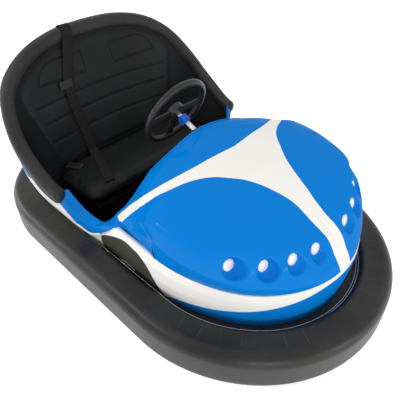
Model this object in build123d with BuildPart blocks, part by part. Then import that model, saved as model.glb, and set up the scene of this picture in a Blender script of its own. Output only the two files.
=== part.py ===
from build123d import *
from math import acos, asin, atan2, cos, degrees, radians, sin, sqrt
import os

# Bumper car. Millimetres. +X forward, +Y to the driver's left, +Z up.
# Origin: on the ground under the middle of the car's bounding box.

# ---- overall ---------------------------------------------------------------
LENGTH = 1950.0            # nose to tail over the tyre
WIDTH = 1200.0             # over the tyre
TYRE_BOTTOM = 79.0         # ground to the underside of the tyre
TYRE_TOP = 258.0
RIM_CREST_Z = 950.0        # middle of the padded rim at the car's centre line
SEAM_Z = 392.0             # joint between the lower body and the bonnet
BODY_BOTTOM_Z = 200.0
FLOOR_Z = 130.0            # underside of the floor plate
GAP = 0.3                  # seat between curved neighbours

NOSE = LENGTH / 2
TAIL = -LENGTH / 2

# ---- plan outline of the tyre: nose arc, side arcs, straights, corners, tail arc ----
NOSE_R = 580.0
NOSE_HALF = 45.0           # half angle of the nose arc
TAIL_R = 870.0
TAIL_HALF = 14.0           # half angle of the tail arc

# ---- tyre and its steel channel ---------------------------------------------
TYRE_THICK = 131.0
TYRE_SHOULDER = 46.0
TYRE_INNER_ROUND = 20.0
CHANNEL_WALL = 5.0
CHANNEL_BOTTOM = 90.0
CHANNEL_TOP = 230.0
BODY_LEDGE = 75.0           # inward reach of the ledge that carries the body
FLOOR_LEDGE = 34.0          # and of the one that carries the floor
LEDGE_THICK = 5.0
PLATE_THICK = 4.0

# ---- body walls: one row per level ------------------------------------------
# columns: height, nose x, nose radius, half width, x where the side starts to curve in,
#          rear corner radius, tail radius, tail x
BODY_LEVELS = (
    (BODY_BOTTOM_Z, 794.0, 400.0, 452.0, -50.0, 345.0, 760.0, -825.0),
    (256.0, 799.0, 407.0, 472.0, -80.0, 372.0, 790.0, -822.0),
    (SEAM_Z, 811.0, 424.0, 470.0, -150.0, 360.0, 850.0, -800.0),
    (520.0, 811.0, 424.0, 546.0, -150.0, 368.0, 860.0, -771.0),
    (1000.0, 811.0, 424.0, 600.0, -150.0, 400.0, 900.0, -663.0),
)
SHELL_WALL = 6.0

# ---- padded rim over the seat shell -------------------------------------------
RIM_PROFILE_X = -100.0     # centre of the side-view arc that the rim follows
RIM_PROFILE_Z = 1020.0
RIM_PROFILE_R = 545.0
RIM_HALF_THICK = 32.0
RIM_INSIDE = 50.0          # how far the rim reaches in from the shell's outer face
RIM_OUTSIDE = 10.0
RIM_FRONT_X = -175.0       # the rim's two front ends
RIM_UPRIGHT_X = -600.0     # behind this the arch below shapes the top
ARCH_R = 854.0             # front-view arc of the rim's top

# ---- side cut-out for getting in ----------------------------------------------
SILL_LOW_X = -85.0
SILL_LOW_Z = 335.0
SILL_FRONT_X = 10.0
SILL_WIDTH = 44.0
SILL_DEPTH = 60.0

# ---- bonnet: one row per level, sizes of the outer skin ------------------------
# columns: height, x and half width of the open rear edge, nose x, nose radius,
#          widest half width, radius of the cheek behind the nose arc
BONNET_LEVELS = (
    (SEAM_Z, 0.0, 468.0, 811.0, 424.0, 468.0, 1900.0),
    (505.0, 64.0, 340.0, 730.0, 476.0, 456.0, 260.0),
    (588.0, 92.0, 290.0, 602.0, 470.0, 438.0, 155.0),
    (650.0, 100.0, 158.0, 430.0, 275.0, 250.0, 140.0),
    (682.0, 104.0, 60.0, 230.0, 70.0, 69.5, 40.0),
)
BONNET_WALL = 6.0
PANEL_GAP = 1.0            # room between the skin and the panels that stand under it
REAR_RUN = 60.0            # how far the hollow runs out past the rear edge

# ---- head lamps, one row per pair -----------------------------------------------
# columns: x, y, height of the lens, outward turn in degrees
LAMPS = (
    (575.0, 370.0, 523.0, 10.0),
    (651.0, 287.0, 510.0, 9.0),
    (701.0, 195.0, 505.0, 8.0),
    (727.0, 98.0, 500.0, 7.0),
)
LAMP_RISE = 16.0           # degrees that the lamps look up
LENS_R = 21.5
LENS_THICK = 10.0
CUP_WALL = 3.0
CUP_DEPTH = 30.0

# ---- inner liner, seat and footwell ----------------------------------------------
LINER_INSET = 45.0
LINER_WALL = 10.0
SEAT_HALF = 404.0
SEAT_REAR_X = -500.0
SEAT_FRONT_X = -170.0
CUSHION_BOTTOM = 318.0
CUSHION_TOP = 390.0
BACK_HALF = 372.0
BACK_LOW = (-478.0, 390.3)     # face of the back pad at its foot, x and z
BACK_HIGH = (-596.0, 905.0)    # and at its head
BACK_THICK = 50.0
BASE_HALF = 370.0
BASE_REAR_X = -560.0
BASE_WALL = 6.0
BULKHEAD_X = 284.0
BULKHEAD_HALF = 380.0

# ---- shoulder belt over the rim, down the back pad and along the cushion ----------------
BELT_HALF = 25.0
BELT_THICK = 3.0
# side view of the webbing's inner face: x, z
BELT_PATH = (
    (-687.0, 930.0),
    (-687.0, 983.5),
    (-602.0, 983.5),
    (-602.0, 930.0),
    (-595.3, 906.5),
    (-476.2, 393.7),
)
BELT_FALL = ((986.0, -112.0), (930.0, -122.0), (906.0, -138.0), (728.0, -206.0), (390.3, -178.0))  # z, y
BELT_LAY = ((-476.5, -176.0), (-421.0, -192.0), (-215.0, -270.0))  # x, y on the cushion
ADJUSTER_Z = 728.0
ADJUSTER_Y = -206.0
BUCKLE = (-420.0, -318.0)

# ---- steering -----------------------------------------------------------------------
STEER_X = -47.0            # centre of the hand wheel
STEER_Z = 696.0
STEER_TILT = 23.0          # degrees that the shaft rises towards the driver
STEER_R = 149.0
STEER_GRIP_R = 13.5
HUB_R = 40.0
HUB_THICK = 26.0
SPOKE_WIDTH = 34.0
SPOKE_THICK = 8.0
SHAFT_R = 11.0
SHAFT_LENGTH = 185.0
JOINT_AT = 54.0            # clamp on the shaft, measured from the wheel's centre
JOINT_SIZE = 34.0
RUNNING_FIT = 0.05
HOUSING_X = 70.0
DASH_X = 118.0
DASH_THICK = 4.0
DASH_BOTTOM = 520.0

HOUSING_HALF = 45.0
HOUSING_LOW = 598.0
HOUSING_HIGH = 662.0
BUTTON_Y = 30.0
BUTTON_Z = 643.0
BUTTON_R = 14.0

# ---- pedal, mat and battery -------------------------------------------------------------
PEDAL_X = 215.0
PEDAL_Y = -90.0
PEDAL_WIDTH = 90.0
MAT_REAR_X = -150.0
MAT_FRONT_X = 200.0
MAT_HALF = 385.0
MAT_THICK = 5.0
BATTERY = (260.0, 170.0, 170.0)
BATTERY_X = -480.0
BATTERY_Y = 90.0

# ---- drive unit -----------------------------------------------------------------------
DRIVE_X = 470.0
DRIVE_R = 130.0
DRIVE_WIDTH = 80.0
DRIVE_HUB_R = 88.0
DRIVE_AXLE_R = 12.0
CHEEK_Y = 50.0
CHEEK_THICK = 8.0
CHEEK_HALF = 32.0
FORK_TOP = 286.0
FORK_PLATE = 14.0
FORK_PLATE_R = 80.0
PIN_R = 25.0
PIN_TOP = 334.0
BRIDGE_Z = 318.0
BRIDGE_PLATE = 8.0
BRIDGE_LEG_Y = 205.0
BRIDGE_HALF = 45.0
DRIVE_HOLE_R = 178.0
MOTOR_R = 55.0
MOTOR_LENGTH = 72.0
MOTOR_Z = 152.0

# ---- rear wheels -----------------------------------------------------------------------
REAR_X = -560.0
REAR_Y = 325.0
REAR_R = 100.0
REAR_WIDTH = 60.0
REAR_HUB_R = 62.0
REAR_AXLE_R = 10.0
REAR_PLATE_Y = 47.0
REAR_PLATE_HALF = 32.0
SLOT_HALF_X = 116.0
SLOT_HALF_Y = 42.0

# ---- frame under the floor ----------------------------------------------------------------
RAIL_Y = 240.0
RAIL_SIZE = 40.0
RAIL_WALL = 3.0
RAIL_FRONT = 700.0
RAIL_REAR = -750.0
FLOOR_INSET = 142.0
TIE_X = 250.0              # half spacing of the four tie-down holes
TIE_Y = 150.0
TIE_R = 5.5


def side_arc(nose_x, nose_r, half_width, side_x):
    """Radius and half angle of the arc from the nose circle to the straight side."""
    run = nose_x - nose_r - side_x
    radius = (run**2 + half_width**2 - nose_r**2) / (2 * (half_width - nose_r))
    return radius, degrees(atan2(radius - half_width, run))


def tail_corner(half_width, tail_r, corner_r):
    """Half angle of the tail arc that meets a corner of this radius."""
    return degrees(asin((half_width - corner_r) / (tail_r - corner_r)))


def plan(nose_x, nose_r, half_width, side_x, corner_r, tail_r, tail_x, inset=0.0):
    """Closed plan outline from tangent arcs, all moved in by the same inset."""
    side_r, side_a = side_arc(nose_x, nose_r, half_width, side_x)
    tail_a = tail_corner(half_width, tail_r, corner_r)
    corner_x = tail_x + tail_r - (tail_r - corner_r) * cos(radians(tail_a))
    corner_y = half_width - corner_r
    with BuildLine() as outline:
        CenterArc((nose_x - nose_r, 0), nose_r - inset, -side_a, 2 * side_a)
        for side in (1, -1):
            start = side_a if side > 0 else -90
            CenterArc((side_x, side * (half_width - side_r)), side_r - inset, start, 90 - side_a)
            Line((side_x, side * (half_width - inset)), (corner_x, side * (half_width - inset)))
            start = 90 if side > 0 else 180 + tail_a
            CenterArc((corner_x, side * corner_y), corner_r - inset, start, 90 - tail_a)
        CenterArc((tail_x + tail_r, 0), tail_r - inset, 180 - tail_a, 2 * tail_a)
    return make_face(outline.edges())


def tyre_plan(inset):
    """Plan outline of the tyre, moved in by inset."""
    side_r = (WIDTH / 2 - NOSE_R * sin(radians(NOSE_HALF))) / (1 - sin(radians(NOSE_HALF)))
    side_x = NOSE - NOSE_R + (NOSE_R - side_r) * cos(radians(NOSE_HALF))
    tail_sin = sin(radians(TAIL_HALF))
    corner_r = (WIDTH / 2 - TAIL_R * tail_sin) / (1 - tail_sin)
    return plan(NOSE, NOSE_R, WIDTH / 2, side_x, corner_r, TAIL_R, TAIL, inset)


def ring(outer_inset, inner_inset, low_z, high_z):
    """Upright band that follows the tyre's plan outline."""
    with BuildPart() as band:
        with BuildSketch(Plane.XY.offset(low_z)):
            tyre_plan(outer_inset)
        extrude(amount=high_z - low_z)
        with BuildSketch(Plane.XY.offset(low_z)):
            tyre_plan(inner_inset)
        extrude(amount=high_z - low_z, mode=Mode.SUBTRACT)
    return band.part


def level_plan(level, inset):
    return plan(*level[1:], inset=inset)


def between(low, high, height):
    """A body level at any height, on the straight line between two levels."""
    share = (height - low[0]) / (high[0] - low[0])
    return tuple(a + (b - a) * share for a, b in zip(low, high))


def body_wall(outer_inset, inner_inset, low_z, high_z):
    """Hollow wall that follows the body levels between two heights."""
    with BuildPart() as wall:
        for inset, mode in ((outer_inset, Mode.ADD), (inner_inset, Mode.SUBTRACT)):
            for low, high in zip(BODY_LEVELS, BODY_LEVELS[1:]):
                bottom, top = max(low_z, low[0]), min(high_z, high[0])
                if bottom >= top:
                    continue
                with BuildSketch(Plane.XY.offset(bottom)):
                    level_plan(between(low, high, bottom), inset)
                with BuildSketch(Plane.XY.offset(top)):
                    level_plan(between(low, high, top), inset)
                loft(ruled=True, mode=mode)
    return wall.part


def profile_point(radius, x):
    """Height of the side-view arc at x."""
    return RIM_PROFILE_Z - sqrt(radius**2 - (x - RIM_PROFILE_X) ** 2)


def rim_region(rise):
    """Everything behind and below the rim's centre line moved up by rise."""
    radius = RIM_PROFILE_R - rise
    with BuildPart() as region:
        with BuildSketch(Plane.XZ):
            with BuildLine():
                front = (RIM_FRONT_X, profile_point(radius, RIM_FRONT_X))
                upright = (RIM_UPRIGHT_X, profile_point(radius, RIM_UPRIGHT_X))
                RadiusArc(front, upright, radius)
                Polyline(upright, (RIM_UPRIGHT_X, 1200), (-1100, 1200), (-1100, 0), (RIM_FRONT_X, 0), front)
            make_face()
        extrude(amount=700, both=True)
        with BuildSketch(Plane.YZ):
            with Locations((0, RIM_CREST_Z - ARCH_R)):
                Circle(ARCH_R + rise)
        extrude(amount=1200, both=True, mode=Mode.INTERSECT)
    return region.part


def body_block(inset, low_z, high_z):
    """Solid that fills the body levels, moved in by inset."""
    with BuildPart() as block:
        for low, high in zip(BODY_LEVELS, BODY_LEVELS[1:]):
            bottom, top = max(low_z, low[0]), min(high_z, high[0])
            if bottom >= top:
                continue
            for height in (bottom, top):
                with BuildSketch(Plane.XY.offset(height)):
                    level_plan(between(low, high, height), inset)
            loft(ruled=True)
    return block.part


def bonnet_outline(rear_x, rear_half, nose_x, nose_r, cheek_half, cheek_r, inset, rear_shift):
    """Nose arc, two cheek arcs, two straight flanks and a straight rear edge."""
    turn = asin((cheek_half - cheek_r) / (nose_r - cheek_r))
    cheek_x = nose_x - nose_r + (nose_r - cheek_r) * cos(turn)
    cheek_y = cheek_half - cheek_r
    reach = sqrt((rear_x - cheek_x) ** 2 + (rear_half - cheek_y) ** 2)
    touch = atan2(rear_half - cheek_y, rear_x - cheek_x) - acos(min(1.0, cheek_r / reach))
    front_x = cheek_x + (cheek_r - inset) * cos(touch)
    front_y = cheek_y + (cheek_r - inset) * sin(touch)
    back_x = rear_x - rear_shift
    back_y = front_y + (front_x - back_x) * cos(touch) / sin(touch)
    turn = degrees(turn)
    touch = degrees(touch)
    with BuildLine() as outline:
        CenterArc((nose_x - nose_r, 0), nose_r - inset, -turn, 2 * turn)
        CenterArc((cheek_x, cheek_y), cheek_r - inset, turn, touch - turn)
        CenterArc((cheek_x, -cheek_y), cheek_r - inset, -touch, touch - turn)
        Polyline((front_x, front_y), (back_x, back_y), (back_x, -back_y), (front_x, -front_y))
    return make_face(outline.edges())


def bonnet_block(inset, rear_shift=0.0):
    """Solid under the bonnet's skin, moved in by inset; its rear face can be shifted back."""
    with BuildPart() as block:
        for level, *row in BONNET_LEVELS:
            with BuildSketch(Plane.XY.offset(level if level == SEAM_Z else level - inset)):
                bonnet_outline(*row, inset, rear_shift)
        loft(ruled=True)
    return block.part


def slab(low, high):
    """Box between two corners."""
    with BuildPart() as box:
        centre = [(a + b) / 2 for a, b in zip(low, high)]
        with Locations(tuple(centre)):
            Box(*[b - a for a, b in zip(low, high)])
    return box.part


def finish(part, name):
    part.label = name
    export_step(part, f"parts/{name}.step")


os.makedirs("parts", exist_ok=True)

# ================= bumper =================
with BuildPart() as bumper_tyre:
    add(ring(0, TYRE_THICK, TYRE_BOTTOM, TYRE_TOP))
    flats = bumper_tyre.faces().filter_by(Plane.XY)
    rims = ShapeList([edge for flat in flats for edge in flat.outer_wire().edges()])
    fillet(rims, radius=TYRE_SHOULDER)
    flats = bumper_tyre.faces().filter_by(Plane.XY)
    rims = ShapeList([edge for flat in flats for wire in flat.inner_wires() for edge in wire.edges()])
    fillet(rims, radius=TYRE_INNER_ROUND)
finish(bumper_tyre.part, "bumper_tyre")

with BuildPart() as bumper_channel:
    add(ring(TYRE_THICK, TYRE_THICK + CHANNEL_WALL, CHANNEL_BOTTOM, CHANNEL_TOP))
    add(ring(TYRE_THICK, TYRE_THICK + BODY_LEDGE, BODY_BOTTOM_Z - LEDGE_THICK, BODY_BOTTOM_Z))
    add(ring(TYRE_THICK, TYRE_THICK + FLOOR_LEDGE, FLOOR_Z - LEDGE_THICK, FLOOR_Z))
finish(bumper_channel.part, "bumper_channel")

# ================= frame, floor and wheels =================
with BuildPart() as floor_plate:
    with BuildSketch(Plane.XY.offset(FLOOR_Z)):
        tyre_plan(FLOOR_INSET)
        with Locations((DRIVE_X, 0)):
            Circle(DRIVE_HOLE_R, mode=Mode.SUBTRACT)
        with Locations((REAR_X, REAR_Y), (REAR_X, -REAR_Y)):
            Rectangle(2 * SLOT_HALF_X, 2 * SLOT_HALF_Y, mode=Mode.SUBTRACT)
        with GridLocations(2 * TIE_X, 2 * TIE_Y, 2, 2):
            Circle(TIE_R, mode=Mode.SUBTRACT)
    extrude(amount=PLATE_THICK)
finish(floor_plate.part, "floor_plate")

with BuildPart() as frame_rails:
    rail_low = FLOOR_Z - RAIL_SIZE
    middle = (RAIL_FRONT + RAIL_REAR) / 2
    with BuildSketch(Plane.YZ.offset(RAIL_REAR)):
        with Locations((RAIL_Y, FLOOR_Z - RAIL_SIZE / 2), (-RAIL_Y, FLOOR_Z - RAIL_SIZE / 2)):
            Rectangle(RAIL_SIZE, RAIL_SIZE)
    extrude(amount=RAIL_FRONT - RAIL_REAR)
    for x in (RAIL_REAR + RAIL_SIZE, -300, 200):
        add(slab((x, -RAIL_Y, rail_low), (x + RAIL_SIZE, RAIL_Y, FLOOR_Z)))
    with BuildSketch(Plane.YZ.offset(RAIL_REAR)):
        with Locations((RAIL_Y, FLOOR_Z - RAIL_SIZE / 2), (-RAIL_Y, FLOOR_Z - RAIL_SIZE / 2)):
            Rectangle(RAIL_SIZE - 2 * RAIL_WALL, RAIL_SIZE - 2 * RAIL_WALL)
    extrude(amount=RAIL_FRONT - RAIL_REAR, mode=Mode.SUBTRACT)
finish(frame_rails.part, "frame_rails")

for side, name in ((-1, "right"), (1, "left")):
    with BuildPart() as bracket:
        for face in (-1, 1):
            y = side * REAR_Y + face * REAR_PLATE_Y
            with BuildSketch(Plane.XZ.offset(-y)):
                with Locations((REAR_X, REAR_R)):
                    Circle(REAR_PLATE_HALF * 0.75)
                with Locations((REAR_X, (REAR_R + FLOOR_Z) / 2)):
                    Rectangle(2 * REAR_PLATE_HALF * 0.75, FLOOR_Z - REAR_R)
            extrude(amount=PLATE_THICK / 2, both=True)
        with BuildSketch(Plane.XZ.offset(-side * REAR_Y)):
            with Locations((REAR_X, REAR_R)):
                Circle(REAR_AXLE_R)
        extrude(amount=REAR_PLATE_Y, both=True)
    finish(bracket.part, f"rear_bracket_{name}")

    with BuildPart() as hub:
        with BuildSketch(Plane.XZ.offset(-side * REAR_Y)):
            with Locations((REAR_X, REAR_R)):
                Circle(REAR_HUB_R)
                Circle(REAR_AXLE_R + RUNNING_FIT, mode=Mode.SUBTRACT)
        extrude(amount=REAR_WIDTH / 2, both=True)
    finish(hub.part, f"rear_hub_{name}")

    with BuildPart() as tread:
        with BuildSketch(Plane.XZ.offset(-side * REAR_Y)):
            with Locations((REAR_X, REAR_R)):
                Circle(REAR_R)
        extrude(amount=REAR_WIDTH / 2, both=True)
        fillet(tread.edges().filter_by(GeomType.CIRCLE), radius=8)
        with BuildSketch(Plane.XZ.offset(-side * REAR_Y)):
            with Locations((REAR_X, REAR_R)):
                Circle(REAR_HUB_R)
        extrude(amount=REAR_WIDTH / 2, both=True, mode=Mode.SUBTRACT)
    finish(tread.part, f"rear_tread_{name}")

# ================= drive unit =================
with BuildPart() as drive_bridge:
    low = (DRIVE_X - BRIDGE_HALF, -BRIDGE_LEG_Y - BRIDGE_PLATE, FLOOR_Z + PLATE_THICK)
    high = (DRIVE_X + BRIDGE_HALF, BRIDGE_LEG_Y + BRIDGE_PLATE, BRIDGE_Z + BRIDGE_PLATE)
    add(slab(low, high))
    low = (DRIVE_X - BRIDGE_HALF, -BRIDGE_LEG_Y, FLOOR_Z)
    high = (DRIVE_X + BRIDGE_HALF, BRIDGE_LEG_Y, BRIDGE_Z)
    add(slab(low, high), mode=Mode.SUBTRACT)
    with BuildSketch(Plane.XY.offset(FORK_TOP + 5)):
        with Locations((DRIVE_X, 0)):
            Circle(PIN_R + 18)
    extrude(amount=BRIDGE_Z + BRIDGE_PLATE - FORK_TOP - 5)
    with BuildSketch(Plane.XY.offset(FORK_TOP)):
        with Locations((DRIVE_X, 0)):
            Circle(PIN_R + RUNNING_FIT)
    extrude(amount=PIN_TOP - FORK_TOP, mode=Mode.SUBTRACT)
finish(drive_bridge.part, "drive_bridge")

with BuildPart() as drive_fork:
    with BuildSketch(Plane.XY.offset(FORK_TOP - FORK_PLATE)):
        with Locations((DRIVE_X, 0)):
            Circle(FORK_PLATE_R)
    extrude(amount=FORK_PLATE)
    with BuildSketch(Plane.XY.offset(FORK_TOP)):
        with Locations((DRIVE_X, 0)):
            Circle(PIN_R)
    extrude(amount=PIN_TOP - FORK_TOP)
    for side in (-1, 1):
        with BuildSketch(Plane.XZ.offset(-side * (CHEEK_Y + CHEEK_THICK / 2))):
            with Locations((DRIVE_X, DRIVE_R)):
                Circle(CHEEK_HALF)
            with Locations((DRIVE_X, (DRIVE_R + FORK_TOP - FORK_PLATE) / 2)):
                Rectangle(2 * CHEEK_HALF, FORK_TOP - FORK_PLATE - DRIVE_R)
        extrude(amount=CHEEK_THICK / 2, both=True)
    with BuildSketch(Plane.XZ):
        with Locations((DRIVE_X, DRIVE_R)):
            Circle(DRIVE_AXLE_R)
    extrude(amount=CHEEK_Y + CHEEK_THICK, both=True)
finish(drive_fork.part, "drive_fork")

with BuildPart() as drive_motor:
    with BuildSketch(Plane.XZ.offset(-CHEEK_Y - CHEEK_THICK)):
        with Locations((DRIVE_X, MOTOR_Z)):
            Circle(MOTOR_R)
    extrude(amount=-MOTOR_LENGTH)
finish(drive_motor.part, "drive_motor")

with BuildPart() as drive_hub:
    with BuildSketch(Plane.XZ):
        with Locations((DRIVE_X, DRIVE_R)):
            Circle(DRIVE_HUB_R)
            Circle(DRIVE_AXLE_R + RUNNING_FIT, mode=Mode.SUBTRACT)
    extrude(amount=DRIVE_WIDTH / 2, both=True)
finish(drive_hub.part, "drive_hub")

with BuildPart() as drive_tyre:
    with BuildSketch(Plane.XZ):
        with Locations((DRIVE_X, DRIVE_R)):
            Circle(DRIVE_R)
    extrude(amount=DRIVE_WIDTH / 2, both=True)
    fillet(drive_tyre.edges().filter_by(GeomType.CIRCLE), radius=10)
    with BuildSketch(Plane.XZ):
        with Locations((DRIVE_X, DRIVE_R)):
            Circle(DRIVE_HUB_R)
    extrude(amount=DRIVE_WIDTH / 2, both=True, mode=Mode.SUBTRACT)
finish(drive_tyre.part, "drive_tyre")

# ================= body panels =================
with BuildPart() as lower_body:
    add(body_wall(0, SHELL_WALL, BODY_BOTTOM_Z, 1000))
    radius = RIM_PROFILE_R + RIM_HALF_THICK + GAP
    with BuildSketch(Plane.XZ):
        with BuildLine():
            step = (RIM_FRONT_X, profile_point(radius, RIM_FRONT_X))
            upright = (RIM_UPRIGHT_X, profile_point(radius, RIM_UPRIGHT_X))
            sill_front = (SILL_FRONT_X, SEAM_Z)
            ThreePointArc(sill_front, (SILL_LOW_X, SILL_LOW_Z), step)
            RadiusArc(step, upright, radius)
            Polyline(upright, (RIM_UPRIGHT_X, 1200), (-1100, 1200), (-1100, 0), (1100, 0), (1100, SEAM_Z), sill_front)
        make_face()
    extrude(amount=700, both=True, mode=Mode.INTERSECT)
    with BuildSketch(Plane.YZ):
        with Locations((0, RIM_CREST_Z - ARCH_R)):
            Circle(ARCH_R - RIM_HALF_THICK - GAP)
    extrude(amount=1200, both=True, mode=Mode.INTERSECT)
finish(lower_body.part, "lower_body")

with BuildPart() as bonnet:
    add(bonnet_block(0))
    add(bonnet_block(BONNET_WALL, REAR_RUN), mode=Mode.SUBTRACT)
    for x, y, z, turn in LAMPS:
        for side in (-1, 1):
            aim = Vector(1, 0, 0).rotate(Axis.Y, -LAMP_RISE).rotate(Axis.Z, side * turn)
            with BuildSketch(Plane(origin=(x, side * y, z), z_dir=aim)):
                Circle(LENS_R + CUP_WALL + GAP)
            extrude(amount=60, both=True, mode=Mode.SUBTRACT)
finish(bonnet.part, "bonnet")

# ================= padded rim, liner and seat =================
with BuildPart() as rim_padding:
    add(body_wall(-RIM_OUTSIDE, RIM_INSIDE, 420, 1000))
    add(rim_region(RIM_HALF_THICK), mode=Mode.INTERSECT)
    add(rim_region(-RIM_HALF_THICK), mode=Mode.SUBTRACT)
finish(rim_padding.part, "rim_padding")

with BuildPart() as seat_liner:
    add(body_wall(SHELL_WALL + GAP, LINER_INSET + LINER_WALL, BODY_BOTTOM_Z, 1000))
    add(slab((RIM_FRONT_X - LINER_WALL, -700, 0), (RIM_FRONT_X, 700, 1200)), mode=Mode.INTERSECT)
    add(body_wall(LINER_INSET, LINER_INSET + LINER_WALL, BODY_BOTTOM_Z, 1000))
    add(rim_region(-RIM_HALF_THICK - GAP), mode=Mode.INTERSECT)
finish(seat_liner.part, "seat_liner")

with BuildPart() as seat_back_pad:
    with BuildSketch(Plane.XZ):
        with BuildLine():
            low_rear = (BACK_LOW[0] - BACK_THICK, BACK_LOW[1])
            high_rear = (BACK_HIGH[0] - BACK_THICK, BACK_HIGH[1])
            Polyline(BACK_LOW, BACK_HIGH, high_rear, low_rear, BACK_LOW)
        make_face()
    extrude(amount=BACK_HALF, both=True)
    add(body_block(LINER_INSET + LINER_WALL + 5, 300, 1000), mode=Mode.INTERSECT)
    add(rim_region(-RIM_HALF_THICK - 8), mode=Mode.INTERSECT)
finish(seat_back_pad.part, "seat_back_pad")

with BuildPart() as seat_cushion:
    low = (SEAT_REAR_X, -SEAT_HALF, CUSHION_BOTTOM)
    high = (SEAT_FRONT_X, SEAT_HALF, CUSHION_TOP)
    add(slab(low, high))
    fillet(seat_cushion.edges().filter_by(Axis.Z), radius=40)
    fillet(seat_cushion.faces().sort_by(Axis.Z)[-1].edges(), radius=18)
finish(seat_cushion.part, "seat_cushion")

with BuildPart() as seat_base:
    low_z = FLOOR_Z + PLATE_THICK
    add(slab((BASE_REAR_X, -BASE_HALF, low_z), (SEAT_FRONT_X, BASE_HALF, CUSHION_BOTTOM)))
    low = (BASE_REAR_X - 10, -BASE_HALF + BASE_WALL, low_z - 10)
    high = (SEAT_FRONT_X - BASE_WALL, BASE_HALF - BASE_WALL, CUSHION_BOTTOM - BASE_WALL)
    add(slab(low, high), mode=Mode.SUBTRACT)
finish(seat_base.part, "seat_base")

with BuildPart() as battery_pack:
    with BuildSketch(Plane.XY.offset(FLOOR_Z + PLATE_THICK)):
        with Locations((BATTERY_X, BATTERY_Y), (BATTERY_X, -BATTERY_Y)):
            Rectangle(BATTERY[0], BATTERY[1])
    extrude(amount=BATTERY[2])
finish(battery_pack.part, "battery_pack")

for side, name in ((-1, "right"), (1, "left")):
    with BuildPart() as sill:
        add(body_wall(SHELL_WALL + GAP, SHELL_WALL + GAP + SILL_WIDTH, BODY_BOTTOM_Z, 600))
        with BuildSketch(Plane.XZ):
            with BuildLine():
                radius = RIM_PROFILE_R + RIM_HALF_THICK + GAP
                step = (RIM_FRONT_X + GAP, profile_point(radius, RIM_FRONT_X))
                front = (SILL_FRONT_X, SEAM_Z - 1)
                front_low = (SILL_FRONT_X, SEAM_Z - SILL_DEPTH)
                rear_low = (RIM_FRONT_X + GAP, step[1] - SILL_DEPTH)
                ThreePointArc(front, (SILL_LOW_X, SILL_LOW_Z), step)
                Line(step, rear_low)
                ThreePointArc(rear_low, (SILL_LOW_X, SILL_LOW_Z - SILL_DEPTH), front_low)
                Line(front_low, front)
            make_face()
        extrude(amount=-side * 700, mode=Mode.INTERSECT)
        add(slab((RIM_FRONT_X + GAP, -700, 0), (500, 700, 700)), mode=Mode.INTERSECT)
    finish(sill.part, f"door_sill_{name}")

# ================= head lamps =================
for side, name in ((-1, "right"), (1, "left")):
    with BuildPart() as cups:
        for x, y, z, turn in LAMPS:
            aim = Vector(1, 0, 0).rotate(Axis.Y, -LAMP_RISE).rotate(Axis.Z, side * turn)
            front = Plane(origin=(x, side * y, z), z_dir=aim)
            with BuildSketch(front):
                Circle(LENS_R + CUP_WALL)
            extrude(amount=-CUP_DEPTH)
            with BuildSketch(front):
                Circle(LENS_R)
            extrude(amount=-LENS_THICK, mode=Mode.SUBTRACT)
            with BuildSketch(front):
                Circle(LENS_R - CUP_WALL)
            extrude(amount=CUP_WALL - CUP_DEPTH, mode=Mode.SUBTRACT)
    finish(cups.part, f"lamp_cups_{name}")

    with BuildPart() as lenses:
        for x, y, z, turn in LAMPS:
            aim = Vector(1, 0, 0).rotate(Axis.Y, -LAMP_RISE).rotate(Axis.Z, side * turn)
            with BuildSketch(Plane(origin=(x, side * y, z), z_dir=aim)):
                Circle(LENS_R - GAP)
            extrude(amount=-LENS_THICK)
    finish(lenses.part, f"lamp_lenses_{name}")

# ================= dash, bulkhead, pedal and mat =================
with BuildPart() as dash_panel:
    add(bonnet_block(BONNET_WALL + PANEL_GAP, REAR_RUN))
    low = (DASH_X, -600, DASH_BOTTOM)
    high = (DASH_X + DASH_THICK, 600, 900)
    add(slab(low, high), mode=Mode.INTERSECT)
    shaft_z = STEER_Z - (DASH_X - STEER_X) * sin(radians(STEER_TILT)) / cos(radians(STEER_TILT))
    with BuildSketch(Plane.YZ.offset(DASH_X)):
        with Locations((0, shaft_z)):
            Circle(SHAFT_R + 9)
    extrude(amount=DASH_THICK, mode=Mode.SUBTRACT)
finish(dash_panel.part, "dash_panel")

wheel_centre = Vector(STEER_X, 0, STEER_Z)
towards_dash = Vector(cos(radians(STEER_TILT)), 0, -sin(radians(STEER_TILT)))
wheel_plane = Plane(origin=wheel_centre, x_dir=(0, 1, 0), z_dir=towards_dash)

with BuildPart() as column_housing:
    low = (HOUSING_X, -HOUSING_HALF, HOUSING_LOW)
    high = (DASH_X, HOUSING_HALF, HOUSING_HIGH)
    add(slab(low, high))
    fillet(column_housing.edges().filter_by(Axis.X), radius=12)
    with BuildSketch(wheel_plane):
        Circle(SHAFT_R + RUNNING_FIT)
    extrude(amount=SHAFT_LENGTH + 60, mode=Mode.SUBTRACT)
finish(column_housing.part, "column_housing")

with BuildPart() as start_button:
    with BuildSketch(Plane.YZ.offset(HOUSING_X)):
        with Locations((BUTTON_Y, BUTTON_Z)):
            Circle(BUTTON_R)
    extrude(amount=-8)
finish(start_button.part, "start_button")

with BuildPart() as front_bulkhead:
    add(bonnet_block(BONNET_WALL + PANEL_GAP, REAR_RUN))
    low = (BULKHEAD_X, -600, SEAM_Z)
    high = (BULKHEAD_X + PLATE_THICK, 600, 900)
    add(slab(low, high), mode=Mode.INTERSECT)
    low = (BULKHEAD_X, -BULKHEAD_HALF, FLOOR_Z + PLATE_THICK)
    high = (BULKHEAD_X + PLATE_THICK, BULKHEAD_HALF, SEAM_Z)
    add(slab(low, high))
finish(front_bulkhead.part, "front_bulkhead")

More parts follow.
